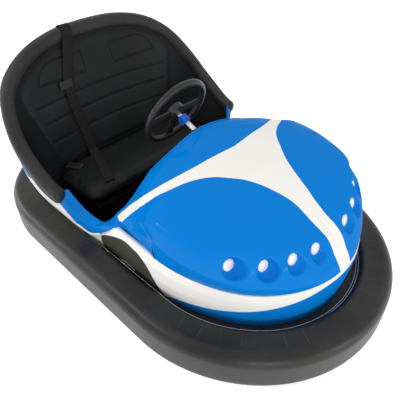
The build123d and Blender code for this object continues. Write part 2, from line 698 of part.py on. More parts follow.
with BuildPart() as drive_pedal:
    floor_z = FLOOR_Z + PLATE_THICK
    with BuildSketch(Plane.XZ.offset(-PEDAL_Y)):
        with BuildLine():
            foot = (PEDAL_X - 30, floor_z)
            Polyline(foot, (PEDAL_X + 55, floor_z + 85), (PEDAL_X + 62, floor_z + 79), (PEDAL_X + 40, floor_z), foot)
        make_face()
    extrude(amount=PEDAL_WIDTH / 2, both=True)
finish(drive_pedal.part, "drive_pedal")

with BuildPart() as floor_mat:
    low = (MAT_REAR_X, -MAT_HALF, FLOOR_Z + PLATE_THICK)
    high = (PEDAL_X - 40, MAT_HALF, FLOOR_Z + PLATE_THICK + MAT_THICK)
    add(slab(low, high))
finish(floor_mat.part, "floor_mat")

# ================= steering =================
with BuildPart() as steering_wheel:
    with BuildSketch(Plane(origin=wheel_centre, x_dir=(0, 1, 0), z_dir=towards_dash)):
        Circle(HUB_R)
    extrude(amount=HUB_THICK / 2, both=True)
    for turn in (0, 180, 270):
        spoke = Plane(origin=wheel_centre, x_dir=(0, 1, 0), z_dir=towards_dash)
        with BuildSketch(spoke):
            with PolarLocations(STEER_R / 2, 1, start_angle=turn):
                Rectangle(STEER_R, SPOKE_WIDTH)
        extrude(amount=SPOKE_THICK / 2, both=True)
    ring_plane = Plane(origin=wheel_centre, x_dir=(0, 1, 0), z_dir=wheel_plane.y_dir)
    with BuildSketch(ring_plane):
        with Locations((STEER_R, 0)):
            Circle(STEER_GRIP_R)
    revolve(axis=Axis(origin=tuple(wheel_centre), direction=tuple(towards_dash)))
finish(steering_wheel.part, "steering_wheel")

with BuildPart() as steering_shaft:
    with BuildSketch(wheel_plane.offset(HUB_THICK / 2)):
        Circle(SHAFT_R)
    extrude(amount=SHAFT_LENGTH - HUB_THICK / 2)
finish(steering_shaft.part, "steering_shaft")

with BuildPart() as steering_joint:
    with BuildSketch(wheel_plane.offset(JOINT_AT - JOINT_SIZE / 2)):
        RectangleRounded(JOINT_SIZE, JOINT_SIZE, 5)
        Circle(SHAFT_R + GAP, mode=Mode.SUBTRACT)
    extrude(amount=JOINT_SIZE)
finish(steering_joint.part, "steering_joint")

# ================= shoulder belt =================
with BuildPart() as shoulder_belt:
    outer = [(x - BELT_THICK, z) for x, z in BELT_PATH[:1]]
    outer.append((BELT_PATH[1][0] - BELT_THICK, BELT_PATH[1][1] + BELT_THICK))
    outer.append((BELT_PATH[2][0] + BELT_THICK, BELT_PATH[2][1] + BELT_THICK))
    outer += [(x + BELT_THICK, z + 1) for x, z in BELT_PATH[3:5]]
    outer.append((BELT_PATH[5][0] + BELT_THICK, BELT_PATH[5][1]))
    with BuildSketch(Plane.XZ):
        with BuildLine():
            Polyline(*BELT_PATH, *reversed(outer), BELT_PATH[0])
        make_face()
    extrude(amount=400)
    with BuildSketch(Plane.YZ):
        with BuildLine():
            inner_side = [(y + BELT_HALF, z) for z, y in BELT_FALL]
            outer_side = [(y - BELT_HALF, z) for z, y in reversed(BELT_FALL)]
            high = [(BELT_FALL[0][1] - BELT_HALF, 1000), (BELT_FALL[0][1] + BELT_HALF, 1000)]
            Polyline(*inner_side, *outer_side, *high, inner_side[0])
        make_face()
    extrude(amount=800, both=True, mode=Mode.INTERSECT)
    with BuildSketch(Plane.XY.offset(CUSHION_TOP + GAP)):
        with BuildLine():
            inner_side = [(x, y + BELT_HALF) for x, y in BELT_LAY]
            outer_side = [(x, y - BELT_HALF) for x, y in reversed(BELT_LAY)]
            Polyline(*inner_side, *outer_side, inner_side[0])
        make_face()
    extrude(amount=BELT_THICK)
finish(shoulder_belt.part, "shoulder_belt")

pad_rise = Vector(BACK_HIGH[0] - BACK_LOW[0], 0, BACK_HIGH[1] - BACK_LOW[1]).normalized()
pad_out = Vector(pad_rise.Z, 0, -pad_rise.X)
adjuster_x = BACK_LOW[0] + (ADJUSTER_Z - BACK_LOW[1]) * pad_rise.X / pad_rise.Z
with BuildPart() as belt_adjusters:
    seat_point = Vector(adjuster_x, ADJUSTER_Y, ADJUSTER_Z) + pad_out * (BELT_THICK + 2.5)
    with BuildSketch(Plane(origin=seat_point, x_dir=(0, 1, 0), z_dir=pad_out)):
        RectangleRounded(2 * BELT_HALF + 12, 34, 5)
    extrude(amount=6)
    with BuildSketch(Plane.XY.offset(CUSHION_TOP + 2 * GAP + BELT_THICK)):
        with Locations(Location(BELT_LAY[1] + (0,), (0, 0, -20))):
            RectangleRounded(34, 2 * BELT_HALF + 12, 5)
    extrude(amount=6)
finish(belt_adjusters.part, "belt_adjusters")

with BuildPart() as belt_buckle:
    with BuildSketch(Plane.XY.offset(CUSHION_TOP + GAP)):
        with Locations(Location(BUCKLE + (0,), (0, 0, 35))):
            RectangleRounded(78, 44, 8)
    extrude(amount=18)
    fillet(belt_buckle.faces().sort_by(Axis.Z)[-1].edges(), radius=5)
finish(belt_buckle.part, "belt_buckle")
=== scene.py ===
"""Bumper car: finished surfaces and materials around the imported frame.

Metres, +X forward, +Y to the driver's left. The lines and forms below are worked out in millimetres.
"""

from functools import reduce
from math import cos, pi, radians, sin

import bpy
import numpy as np
from mathutils import Matrix, Vector


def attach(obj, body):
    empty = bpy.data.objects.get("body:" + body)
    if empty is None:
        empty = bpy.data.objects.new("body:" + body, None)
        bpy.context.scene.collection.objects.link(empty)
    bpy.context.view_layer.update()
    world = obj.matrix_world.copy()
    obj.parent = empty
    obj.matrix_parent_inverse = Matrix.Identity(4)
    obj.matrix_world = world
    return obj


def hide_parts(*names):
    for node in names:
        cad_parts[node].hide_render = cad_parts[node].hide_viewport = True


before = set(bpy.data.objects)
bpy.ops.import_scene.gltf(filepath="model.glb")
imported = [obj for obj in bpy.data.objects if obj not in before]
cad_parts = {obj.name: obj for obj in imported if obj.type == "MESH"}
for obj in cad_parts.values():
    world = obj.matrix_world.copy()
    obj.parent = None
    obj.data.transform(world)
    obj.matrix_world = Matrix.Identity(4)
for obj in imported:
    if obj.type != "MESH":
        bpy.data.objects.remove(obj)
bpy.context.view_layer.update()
SIDES = (("right", -1), ("left", 1))
MM = 0.001


# ---------------- curves
def ease(low, high, value):
    """0 up to low, 1 from high on, and the cubic 3t^2 - 2t^3 between them."""
    t = np.clip((np.asarray(value, float) - low) / (high - low), 0, 1)
    return t * t * (3 - 2 * t)


def bell(value, width):
    """exp(-(value / width)^2), a smooth hump one high."""
    return np.exp(-((value / width) ** 2))


def fair(knots, values, at):
    """Cubic Hermite curve through values at the knots, its slopes those of the chords on either side."""
    knots, values, at = (np.asarray(v, float) for v in (knots, values, at))
    slopes = np.gradient(values, knots, axis=0)
    k = np.clip(np.searchsorted(knots, at, side="right") - 1, 0, len(knots) - 2)
    span = knots[k + 1] - knots[k]
    t = np.clip((at - knots[k]) / span, 0, 1)
    if values.ndim > 1:
        t, span = t[..., None], span[..., None]
    a, b = values[k], values[k + 1]
    return (
        a * (1 + 2 * t) * (1 - t) ** 2
        + b * t * t * (3 - 2 * t)
        + slopes[k] * span * t * (1 - t) ** 2
        - slopes[k + 1] * span * t * t * (1 - t)
    )


def lengths(path):
    """Distance along a polyline up to each of its points."""
    steps = np.linalg.norm(np.diff(path, axis=0), axis=1)
    return np.concatenate([[0.0], np.cumsum(steps)])


def even(line, count, closed=False):
    """Points of a polyline at even distances."""
    run = lengths(line)
    at = np.linspace(0, run[-1], count, endpoint=not closed)
    return np.stack([np.interp(at, run, column) for column in np.transpose(line)], -1)


def spaced(path, count):
    """The fair curve through the path's points, read at evenly spaced distances."""
    run = lengths(path)
    return even(fair(run, path, np.linspace(0, run[-1], 40 * len(path))), count)


def unit(vectors):
    """Vectors divided by their lengths."""
    return vectors / np.maximum(np.linalg.norm(vectors, axis=-1, keepdims=True), 1e-12)


def headings(path, closed=False):
    """Unit direction at each point: the chord between its two neighbours."""
    if closed:
        return unit(np.roll(path, -1, axis=0) - np.roll(path, 1, axis=0))
    return unit(np.gradient(path, axis=0))


# ---------------- meshes
def surface(name, grid, wrap=(False, False), flip=False, marks=None, uv=None):
    """Quads between neighbours of a grid of points (rows, columns, 3) in millimetres.

    wrap joins the last row or column to the first, marks are attributes of the points.
    """
    rows, columns = grid.shape[:2]
    index = np.arange(rows * columns).reshape(rows, columns)
    index = np.vstack([index, index[:1]]) if wrap[0] else index
    index = np.hstack([index, index[:, :1]]) if wrap[1] else index
    if uv is None:
        shares = [np.arange(count) / whole for count, whole in zip(index.shape, grid.shape)]
        uv = np.stack(np.meshgrid(*shares, indexing="ij"), -1)
    here, following = slice(None, -1), slice(1, None)
    corners = [(here, here), (following, here), (following, following), (here, following)]
    corners = corners[::-1] if flip else corners
    loops = np.stack([index[c] for c in corners], -1).reshape(-1)
    places = np.stack([uv[c] for c in corners], 2).reshape(-1)
    mesh = bpy.data.meshes.new(name)
    mesh.vertices.add(rows * columns)
    mesh.vertices.foreach_set("co", np.ascontiguousarray(grid * MM, np.float32).reshape(-1))
    mesh.loops.add(len(loops))
    mesh.loops.foreach_set("vertex_index", loops.astype(np.int32))
    mesh.polygons.add(len(loops) // 4)
    mesh.polygons.foreach_set("loop_start", np.arange(0, len(loops), 4, dtype=np.int32))
    mesh.polygons.foreach_set("use_smooth", np.ones(len(loops) // 4, bool))
    mesh.uv_layers.new(name="UVMap")
    mesh.uv_layers["UVMap"].data.foreach_set("uv", places.astype(np.float32))
    for mark, values in (marks or {}).items():
        attribute = mesh.attributes.new(mark, "FLOAT", "POINT")
        attribute.data.foreach_set("value", values.astype(np.float32).reshape(-1))
    mesh.update(calc_edges=True)
    mesh.validate()
    return mesh


def vertices(mesh):
    """Places of a mesh's vertices in metres, one row each."""
    points = np.empty(len(mesh.vertices) * 3, np.float32)
    mesh.vertices.foreach_get("co", points)
    return points.reshape(-1, 3)


def linked(name, data):
    """A new object in the scene."""
    item = bpy.data.objects.new(name, data)
    bpy.context.scene.collection.objects.link(item)
    return item


def place(mesh, finish, stands_for=()):
    """Makes the mesh a piece of the car: its finish and the plain solids it stands for."""
    piece = linked(mesh.name, mesh)
    mesh.materials.append(finish)
    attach(piece, "car")
    if stands_for:
        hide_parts(*stands_for)
    return piece


def fitted(name, grid, finish, slot, stands_for=(), **form):
    """The piece whose mesh is the surface on this grid."""
    return place(surface(name, grid, **form), finish, stands_for)


def modify(piece, kind, **settings):
    """Adds a modifier with these settings."""
    modifier = piece.modifiers.new(kind.title(), kind)
    for key, value in settings.items():
        setattr(modifier, key, value)
    return modifier


def along(path, profile, closed=False, up=(0, 0, 1), sizes=None):
    """Carries a profile (side, rise) along a path: path point + side x sideways + rise x upwards."""
    path = np.asarray(path, float)
    ahead = headings(path, closed)
    up = np.broadcast_to(np.asarray(up, float), path.shape)
    side = unit(np.cross(ahead, up))
    rise = np.cross(side, ahead)
    profile = np.asarray(profile, float)
    if profile.ndim == 2:
        profile = np.broadcast_to(profile, (len(path),) + profile.shape)
    if sizes is not None:
        profile = profile * np.asarray(sizes, float).reshape(-1, 1, 1)
    return path[:, None] + profile[..., :1] * side[:, None] + profile[..., 1:2] * rise[:, None]


def powered(wave, power):
    """sign(w) |w|^(2 / power), the superellipse's bend of a cosine or sine."""
    return np.sign(wave) * np.abs(wave) ** (2 / power)


def round_profile(half_wide, half_high, power=2.0, count=24):
    """Superellipse: side = a |cos t|^(2/p), rise = b |sin t|^(2/p), with the signs of cosine and sine."""
    t = np.linspace(0, 2 * pi, count, endpoint=False)
    return np.stack([half_wide * powered(np.cos(t), power), half_high * powered(np.sin(t), power)], -1)


def turned(centre, axis, profile, count=64):
    """A profile (a, r) turned about an axis: centre + a x axis + r (cos t x side + sin t x other)."""
    side = unit(np.cross(axis, (0, 0, 1.0)))
    other = np.cross(axis, side)
    t = np.linspace(0, 2 * pi, count, endpoint=False)[:, None, None]
    a, r = (np.asarray(profile, float)[None, :, k, None] for k in (0, 1))
    return np.asarray(centre, float) + a * axis + r * (np.cos(t) * side + np.sin(t) * other)


def joined(name, meshes):
    """One mesh from several, in order."""
    scratch = [linked("part", mesh) for mesh in meshes]
    first = scratch[0]
    chosen = {"selected_editable_objects": scratch, "selected_objects": scratch}
    with bpy.context.temp_override(active_object=first, object=first, **chosen):
        bpy.ops.object.join()
    mesh = first.data
    bpy.data.objects.remove(first)
    mesh.name = name
    return mesh


# ---------------- finishes
def operator(operation, swapped=False):
    """A method that adds this Math node for a wire and another wire or number."""

    def method(wire, other):
        return wire.maths(operation, *((other, wire) if swapped else (wire, other)))

    return method


class Wire:
    """A shader socket that can be added, scaled, compared and bent; every operator adds its Math node."""

    def __init__(self, shop, socket):
        self.shop, self.socket = shop, socket

    def maths(self, operation, *terms):
        return self.shop.add("Math", dict(enumerate(terms)), operation=operation)

    __add__ = __radd__ = operator("ADD")
    __sub__ = operator("SUBTRACT")
    __rsub__ = operator("SUBTRACT", swapped=True)
    __mul__ = __rmul__ = operator("MULTIPLY")
    __gt__ = operator("GREATER_THAN")
    most = operator("MAXIMUM")
    # distance from the nearest whole multiple of twice the other
    folded = operator("PINGPONG")

    def wave(self):
        return self.maths("SINE", self)

    def step(self, low, high):
        """Smooth rise from 0 at low to 1 at high."""
        values = {0: self, 1: low, 2: high, 3: 0.0, 4: 1.0}
        return self.shop.add("MapRange", values, interpolation_type="SMOOTHSTEP")


class Shop:
    """The node tree of a material or a world."""

    def __init__(self, owner):
        self.owner = owner
        owner.use_nodes = True
        self.tree = owner.node_tree
        self.tree.nodes.clear()

    def add(self, kind, values, out=0, **settings):
        """Any shader node: its type, its socket values or wires, the output to use and its settings."""
        node = self.tree.nodes.new("ShaderNode" + kind)
        for key, value in settings.items():
            setattr(node, key, value)
        for key, value in values.items():
            if isinstance(value, Wire):
                self.tree.links.new(value.socket, node.inputs[key])
            else:
                node.inputs[key].default_value = value
        return Wire(self, node.outputs[out])

    def position(self):
        return self.add("TexCoord", {}, "Object")

    def mark(self, name):
        return self.add("Attribute", {}, "Fac", attribute_name=name)

    def inside(self, name):
        """Share of paint where a signed distance in metres is positive, with an edge 1.6 mm soft."""
        return self.mark(name).step(-0.0008, 0.0008)

    def axis(self, vector, which):
        return self.add("SeparateXYZ", {0: vector}, which)

    def vector(self, x):
        return self.add("CombineXYZ", {0: x})

    def uv(self):
        return self.add("UVMap", {}, uv_map="UVMap")

    def noise(self, scale, detail=3.0, rough=0.5, at=None):
        """Noise read at a vector, or at the object's own place."""
        values = {"Vector": at or self.position(), "Scale": scale, "Detail": detail, "Roughness": rough}
        return self.add("TexNoise", values)

    def cells(self, scale):
        return self.add("TexVoronoi", {"Vector": self.position(), "Scale": scale})

    def stretched(self, *scale):
        """The object's own place, scaled along each axis."""
        return self.add("Mapping", {"Vector": self.position(), "Scale": scale})

    def mix(self, share, first, second):
        first, second = (c if isinstance(c, Wire) else (*c, 1.0) for c in (first, second))
        return self.add("Mix", {0: share, 6: first, 7: second}, 2, data_type="RGBA")

    def bump(self, height, distance, strength):
        return self.add("Bump", {"Height": height, "Distance": distance, "Strength": strength})

    def seen_by(self, *rays):
        """1 for these kinds of ray and 0 for the others."""
        return reduce(Wire.most, (self.add("LightPath", {}, "Is %s Ray" % ray) for ray in rays))

    def done(self, colour, rough, normal, shine=0.5, **sockets):
        """Principled surface; in the names of further sockets, underscores stand for spaces."""
        values = {"Base Color": colour, "Roughness": rough, "Normal": normal, "Specular IOR Level": shine}
        values.update((key.replace("_", " "), value) for key, value in sockets.items())
        return self.finished(self.add("BsdfPrincipled", values))

    def finished(self, shader, kind="Material"):
        """The material or world, showing this shader."""
        output = self.tree.nodes.new("ShaderNodeOutput" + kind)
        self.tree.links.new(shader.socket, output.inputs["Surface"])
        return self.owner


def new_material(name):
    """An empty material's tree."""
    return Shop(bpy.data.materials.new(name))


BLUE = (0.001, 0.185, 0.60)
WHITE = (0.83, 0.81, 0.775)
OLIVE = (0.055, 0.056, 0.044)
PALE = (0.80, 0.80, 0.77)


def toned(tone, factor, lift):
    """A tone times a factor plus a lift, no channel above 1."""
    return tuple(min(1, c * factor + lift) for c in tone)


def shell_paint(name, layout):
    """Gel coat laid out by layout(shop), with faint orange peel, a slow change of tone and specks of dust."""
    shop = new_material(name)
    cloud = shop.noise(3.0, 4.0)
    colour = shop.mix((cloud - 0.45) * 0.03, layout(shop), (0.30, 0.55, 0.80))
    peel = shop.noise(160.0, 2.0)
    dust = shop.noise(900.0, 2.0)
    rough = 0.09 + cloud * 0.08 + (dust > 0.66) * 0.05
    normal = shop.bump(peel, 0.0004, 0.25)
    return shop.done(colour, rough, normal, 0.0, Coat_Weight=0.12, Coat_Roughness=0.03)


def plain_layout(shop):
    """Blue all over."""
    return BLUE


def bonnet_layout(shop):
    """Blue with white where the signed distance stripe is positive."""
    return shop.mix(shop.inside("stripe"), BLUE, WHITE)


def body_layout(shop):
    """White with blue where skirt is positive, and the dark curved patch with its pale oval."""
    colour = shop.mix(shop.inside("skirt"), WHITE, BLUE)
    colour = shop.mix(shop.inside("patch"), colour, OLIVE)
    return shop.mix(shop.inside("oval"), colour, PALE)


def rubber(name):
    """Moulded tyre rubber: fine pebble, broken joint lines every 85 mm, pale scuffs and grey-brown dust."""
    shop = new_material(name)
    uv = shop.uv()
    run, round_ = shop.axis(uv, "X"), shop.axis(uv, "Y")
    cloud = shop.noise(5.0, 5.0)
    fine = shop.noise(420.0)
    joints = (run + 0.006 * shop.noise(30.0, 2.0)).folded(0.0425)
    inner_band = round_.step(0.236, 0.244) * (1.0 - round_.step(0.292, 0.300))
    long_or_short = shop.noise(4.0, 1.0, at=shop.vector(run * 3.0)).step(0.42, 0.58)
    joint = (1.0 - joints.step(0.0, 0.0016)) * inner_band * long_or_short
    streak = shop.noise(1.0, 4.0, at=shop.stretched(14.0, 14.0, 200.0))
    scuff = (shop.noise(60.0, 6.0, 0.7) > 0.71) * (cloud > 0.5)
    colour = shop.mix(cloud.step(0.3, 0.75), (0.010, 0.010, 0.010), (0.024, 0.0235, 0.021))
    colour = shop.mix(scuff * 0.35, colour, (0.16, 0.15, 0.13))
    colour = shop.mix(joint * 0.5, colour, (0.12, 0.12, 0.11))
    rough = 0.30 + cloud * 0.16 + scuff * 0.2
    height = fine * 0.25 + streak * 0.5 - joint * 1.6
    normal = shop.bump(height, 0.0011, 0.7)
    return shop.done(colour, rough, normal, 0.32)


def vinyl(name, tone=(0.0075, 0.008, 0.0085), shine=0.18):
    """Upholstery vinyl: small leather grain, a slow change of tone and soft creases."""
    shop = new_material(name)
    cloud = shop.noise(4.0, 4.0)
    grain = shop.cells(620.0)
    crease = shop.noise(1.0, 5.0, 0.6, at=shop.stretched(9.0, 9.0, 22.0))
    colour = shop.mix(cloud.step(0.3, 0.72), tone, toned(tone, 1.9, 0.0))
    rough = 0.42 + cloud * 0.16
    normal = shop.bump(grain * 0.5 + crease * 3.0, 0.0009, 0.5)
    return shop.done(colour, rough, normal, shine)


def painted_steel(name, colour):
    """Satin paint over steel with chips and a dusty bloom."""
    shop = new_material(name)
    cloud = shop.noise(8.0, 5.0)
    chip = shop.noise(95.0, 6.0, 0.65) > 0.70
    tone = shop.mix(cloud * 0.3, colour, toned(colour, 2.2, 0.02))
    tone = shop.mix(chip * 0.7, tone, (0.42, 0.41, 0.40))
    rough = 0.38 + cloud * 0.25
    normal = shop.bump(cloud * 0.4 - chip * 0.6, 0.0006, 0.5)
    return shop.done(tone, rough, normal, Metallic=chip * 0.8)


def bright_steel(name, tone=(0.72, 0.72, 0.74)):
    """Bare steel: fine brushed lines and a little tarnish."""
    shop = new_material(name)
    lines = shop.noise(1.0, at=shop.stretched(900.0, 60.0, 900.0))
    cloud = shop.noise(25.0, 4.0)
    colour = shop.mix(cloud * 0.5, tone, toned(tone, 0.6, 0.0))
    rough = 0.16 + lines * 0.18
    normal = shop.bump(lines, 0.0002, 0.4)
    return shop.done(colour, rough, normal, Metallic=1.0)


def moulded(name, colour, rough=0.45, grain=500.0, shine=0.3):
    """Moulded plastic: spark-eroded grain and a few handling marks."""
    shop = new_material(name)
    fine = shop.noise(grain)
    cloud = shop.noise(12.0, 4.0)
    tone = shop.mix(cloud.step(0.35, 0.8) * 0.5, colour, toned(colour, 1.5, 0.003))
    rough = rough - 0.08 + cloud * 0.16
    normal = shop.bump(fine, 0.0005, 0.4)
    return shop.done(tone, rough, normal, shine)


def lens_glaze(name):
    """Frosted lamp cover: milky, faintly violet, with small moulded cells and a faint painted glow."""
    shop = new_material(name)
    prism = shop.cells(210.0)
    cloud = shop.noise(30.0)
    colour = shop.mix(cloud.step(0.3, 0.7), (0.60, 0.61, 0.76), (0.74, 0.74, 0.83))
    rough = 0.22 + cloud * 0.1
    normal = shop.bump(prism, 0.0008, 0.35)
    # painted glow: a faint emission that brightens the covers
    glow = {"Emission_Color": (0.80, 0.80, 0.95, 1.0), "Emission_Strength": 0.06}
    return shop.done(colour, rough, normal, Coat_Weight=0.25, **glow)


def webbing(name):
    """Woven strap: herringbone ribs and threads, laid out by the strap's own UV in metres."""
    shop = new_material(name)
    uv = shop.uv()
    run, across = shop.axis(uv, "X"), shop.axis(uv, "Y")
    zigzag = across.folded(0.0055)
    rib = (run * 2600.0 + zigzag * 2600.0).wave()
    thread = (across * 9000.0).wave()
    cloud = shop.noise(40.0)
    colour = shop.mix(rib.step(-0.6, 1.0), (0.006, 0.006, 0.0065), (0.020, 0.020, 0.021))
    colour = shop.mix(cloud * 0.2, colour, (0.035, 0.034, 0.030))
    rough = 0.75 + cloud * 0.1
    normal = shop.bump(rib * 0.6 + thread * 0.25, 0.0006, 0.7)
    return shop.done(colour, rough, normal, 0.2)


BLUE_PAINT = shell_paint("blue gel coat", plain_layout)
BONNET_PAINT = shell_paint("bonnet gel coat", bonnet_layout)
BODY_PAINT = shell_paint("body gel coat", body_layout)
TYRE_RUBBER = rubber("tyre rubber")
PAD_VINYL = vinyl("pad vinyl")
RIM_VINYL = vinyl("rim vinyl", (0.012, 0.012, 0.012), 0.32)
# the liner is a darker copy of the pad vinyl: painted shade inside the seat shell
SHADED_LINER_VINYL = vinyl("liner vinyl darkened as shade", (0.0045, 0.005, 0.0055), 0.14)
FRAME_PAINT = painted_steel("frame paint", (0.016, 0.016, 0.017))
CHANNEL_PAINT = painted_steel("channel paint", (0.012, 0.012, 0.0125))
BARE_EDGE = bright_steel("bare channel edge", (0.55, 0.54, 0.52))
SHAFT_STEEL = bright_steel("shaft steel")
BLACK_PLASTIC = moulded("black plastic", (0.016, 0.016, 0.017))
GRIP = moulded("wheel grip", (0.020, 0.020, 0.021), 0.36, 260.0)
# unpainted glass fibre, darkened further to near black as painted shade for the seat base and front bulkhead
DARK_FIBRE_AND_SHADE = moulded("unpainted glass fibre darkened as shade", (0.003, 0.003, 0.0035), 0.85, 120.0, 0.06)
LENS = lens_glaze("lamp cover")
THREAD = moulded("seam thread", (0.003, 0.003, 0.003), 0.7, 900.0)
STRAP = webbing("strap webbing")
RED = moulded("red button", (0.55, 0.015, 0.012), 0.3)
CLAMP_BLUE = moulded("clamp enamel", (0.01, 0.09, 0.50), 0.3, 900.0)


# ---------------- the car's lines, in millimetres
SEAM = 392.0
FRONT_HALF = ((200, 438), (256, 452), (300, 457), (355, 455), (392, 443), (1000, 443))
REAR_HALF = (
    (200, 452), (256, 474), (320, 500), (392, 522), (450, 538), (520, 551), (625, 552), (800, 575),
    (1000, 600),
)
NOSE_X = ((200, 794), (256, 803), (320, 811), (355, 814), (392, 811), (1000, 811))
NOSE_R = ((200, 400), (256, 407), (392, 424), (1000, 424))
CORNER_R = ((200, 345), (256, 372), (392, 360), (520, 368), (1000, 400))
TAIL_R = ((200, 760), (256, 790), (392, 850), (520, 860), (1000, 900))
TAIL_X = ((200, -825), (256, -822), (392, -800), (520, -771), (1000, -663))
# where the side arc meets the flank, and the stretch of x over which the flank swells
SIDE_X = 250.0
FLANK_X = (-20.0, -230.0)
# door dip: the blue flange's outer edge on the wall, its crease and its inner edge, from the rim forward
DIP = (
    (-208, 531, 437), (-197, 515, 385), (-187, 498, 331), (-160, 480, 292), (-129, 468, 270), (-88, 462, 282),
    (-11, 456, 340), (33, 446, 380), (46, 440, 391), (72, 420, 388), (110, 418, 384),
)
SILL_CREASE = (
    (-195, 531, 486), (-183, 525, 462), (-172, 511, 416), (-156, 492, 362), (-132, 477, 327), (-92, 464, 322),
    (-31, 451, 359), (20, 440, 386), (38, 432, 396), (64, 412, 392), (104, 410, 388),
)
SILL_INNER = (
    (-182, 488, 490), (-170, 480, 464), (-156, 466, 420), (-134, 452, 380), (-98, 436, 350), (-60, 425, 344),
    (-27, 415, 370), (6, 406, 403), (20, 398, 412), (44, 392, 408), (80, 388, 404),
)
# middle of the padded rim, from its front end to the car's centre line
RIM = (
    (-175, 518, 459), (-253, 528, 481), (-332, 532, 528), (-412, 529, 586), (-476, 516, 650),
    (-523, 495, 705), (-560, 468, 755), (-583, 434, 795), (-599, 388, 831), (-611, 332, 863),
    (-621, 273, 886), (-629, 209, 902), (-635, 141, 913), (-637, 66, 918), (-638, 0, 919),
)
# bonnet: height, nose x, x and half width of the widest place, power of the front quarter, cowl edge x and y
BONNET = (
    (392, 811, 284, 443, 2.05, 0, 406), (420, 796, 290, 446, 2.3, 16, 394),
    (449, 770, 295, 451, 2.55, 38, 372), (480, 742, 300, 454, 2.65, 52, 352),
    (505, 717, 300, 455, 2.65, 64, 338), (538, 674, 300, 455, 2.7, 76, 320),
    (560, 643, 290, 455, 2.7, 84, 306), (575, 620, 280, 451, 2.6, 89, 296),
    (588, 599, 262, 440, 2.5, 92, 286), (600, 576, 255, 418, 2.4, 95, 274),
    (612, 544, 250, 388, 2.3, 98, 255), (625, 504, 245, 348, 2.2, 101, 228),
    (638, 462, 240, 300, 2.1, 103, 196), (649, 420, 230, 250, 2.1, 104, 160),
    (658, 362, 210, 200, 2.0, 105, 135), (665, 300, 190, 155, 2.0, 105, 112),
    (672, 232, 155, 100, 2.0, 105, 80), (678, 165, 128, 48, 2.0, 105, 42),
    (682, 110, 107, 4, 2.0, 105, 4),
)


def table(rows, at):
    """A table's fair curve read at these places: first column against the rest."""
    rows = np.asarray(rows, float)
    got = fair(rows[:, 0], rows[:, 1:], at)
    return got[..., 0] if rows.shape[1] == 2 else got


def outline(share, nose, nose_r, half, side_x, rear, corner, tail, tail_x):
    """Plan of a car-shaped wall: share 0..1 is the way round from nose to tail on +Y, in five stretches.

    They are the nose arc, the side arc, the flank with one smooth swell from half to rear, the rear corner
    arc and the tail arc, each read by its own angle or x.
    """
    run = nose - nose_r - side_x
    side = (run**2 + half**2 - nose_r**2) / (2 * (half - nose_r))
    meet = np.arctan2(side - half, run)
    turn = np.arcsin((rear - corner) / (tail - corner))
    corner_x = tail_x + tail - (tail - corner) * np.cos(turn)
    s = share * 5
    a = np.clip(s, 0, 1) * meet
    b = meet + np.clip(s - 1, 0, 1) * (pi / 2 - meet)
    c = np.clip(s - 2, 0, 1)
    d = pi / 2 + np.clip(s - 3, 0, 1) * (pi / 2 - turn)
    e = pi - turn + np.clip(s - 4, 0, 1) * turn
    flank_x = side_x + (corner_x - side_x) * c
    flank_y = half + (rear - half) * (1 - ease(FLANK_X[1], FLANK_X[0], flank_x))
    side_y, corner_y = half - side, rear - corner
    x = [run + side_x + nose_r * np.cos(a), side_x + side * np.cos(b), flank_x, corner_x + corner * np.cos(d)]
    y = [nose_r * np.sin(a), side_y + side * np.sin(b), flank_y, corner_y + corner * np.sin(d)]
    stretch = [s <= 1, s <= 2, s <= 3, s <= 4]
    x = np.select(stretch, x, tail_x + tail + tail * np.cos(e))
    y = np.select(stretch, y, tail * np.sin(e))
    return x, y


def body_point(share, z):
    """Body wall at a share of the way round and a height, from the tables of its lines."""
    z = np.broadcast_to(np.asarray(z, float), np.shape(share)).astype(float)
    nose, nose_r, half, rear, corner, tail, tail_x = (
        np.interp(z, *np.transpose(line))
        for line in (NOSE_X, NOSE_R, FRONT_HALF, REAR_HALF, CORNER_R, TAIL_R, TAIL_X)
    )
    return np.stack([*outline(share, nose, nose_r, half, SIDE_X, rear, corner, tail, tail_x), z], -1)


def round_tail(half, count):
    """A line on +Y that ends on the centre line, run on from its mirror image: from right to left."""
    half = np.array(half, float)
    return spaced(np.vstack([half[:-1] * (1, -1, 1), half[::-1]]), count)


def bearing(x, y):
    """Angle round the seat about a point 100 behind the middle: 0 straight back, pi/2 abreast."""
    return np.arctan2(np.abs(y), -(x + 100.0))


def top_edge(x, y):
    """Height of the wall's top: the bonnet seam, then the door dip, then the rim's middle line by bearing."""
    line = spaced(RIM, 200)
    round_seat = bearing(line[:, 0], line[:, 1])
    order = np.argsort(round_seat)
    rim = np.interp(bearing(x, y), round_seat[order], line[order, 2])
    dip_end, dip_start = DIP[0][0], 50.0
    dip = table([(p[0], p[2]) for p in DIP], np.clip(x, dip_end, dip_start))
    return np.where(x > dip_start, SEAM, np.where(x > dip_end, dip, rim))


def on_row(line, height, share):
    """Points of a plan line at shares of its length, at this height."""
    run = lengths(line)
    x, y = (np.interp(share * run[-1], run, line[:, k]) for k in (0, 1))
    return np.stack([x, y, np.full(x.shape, height)], -1)


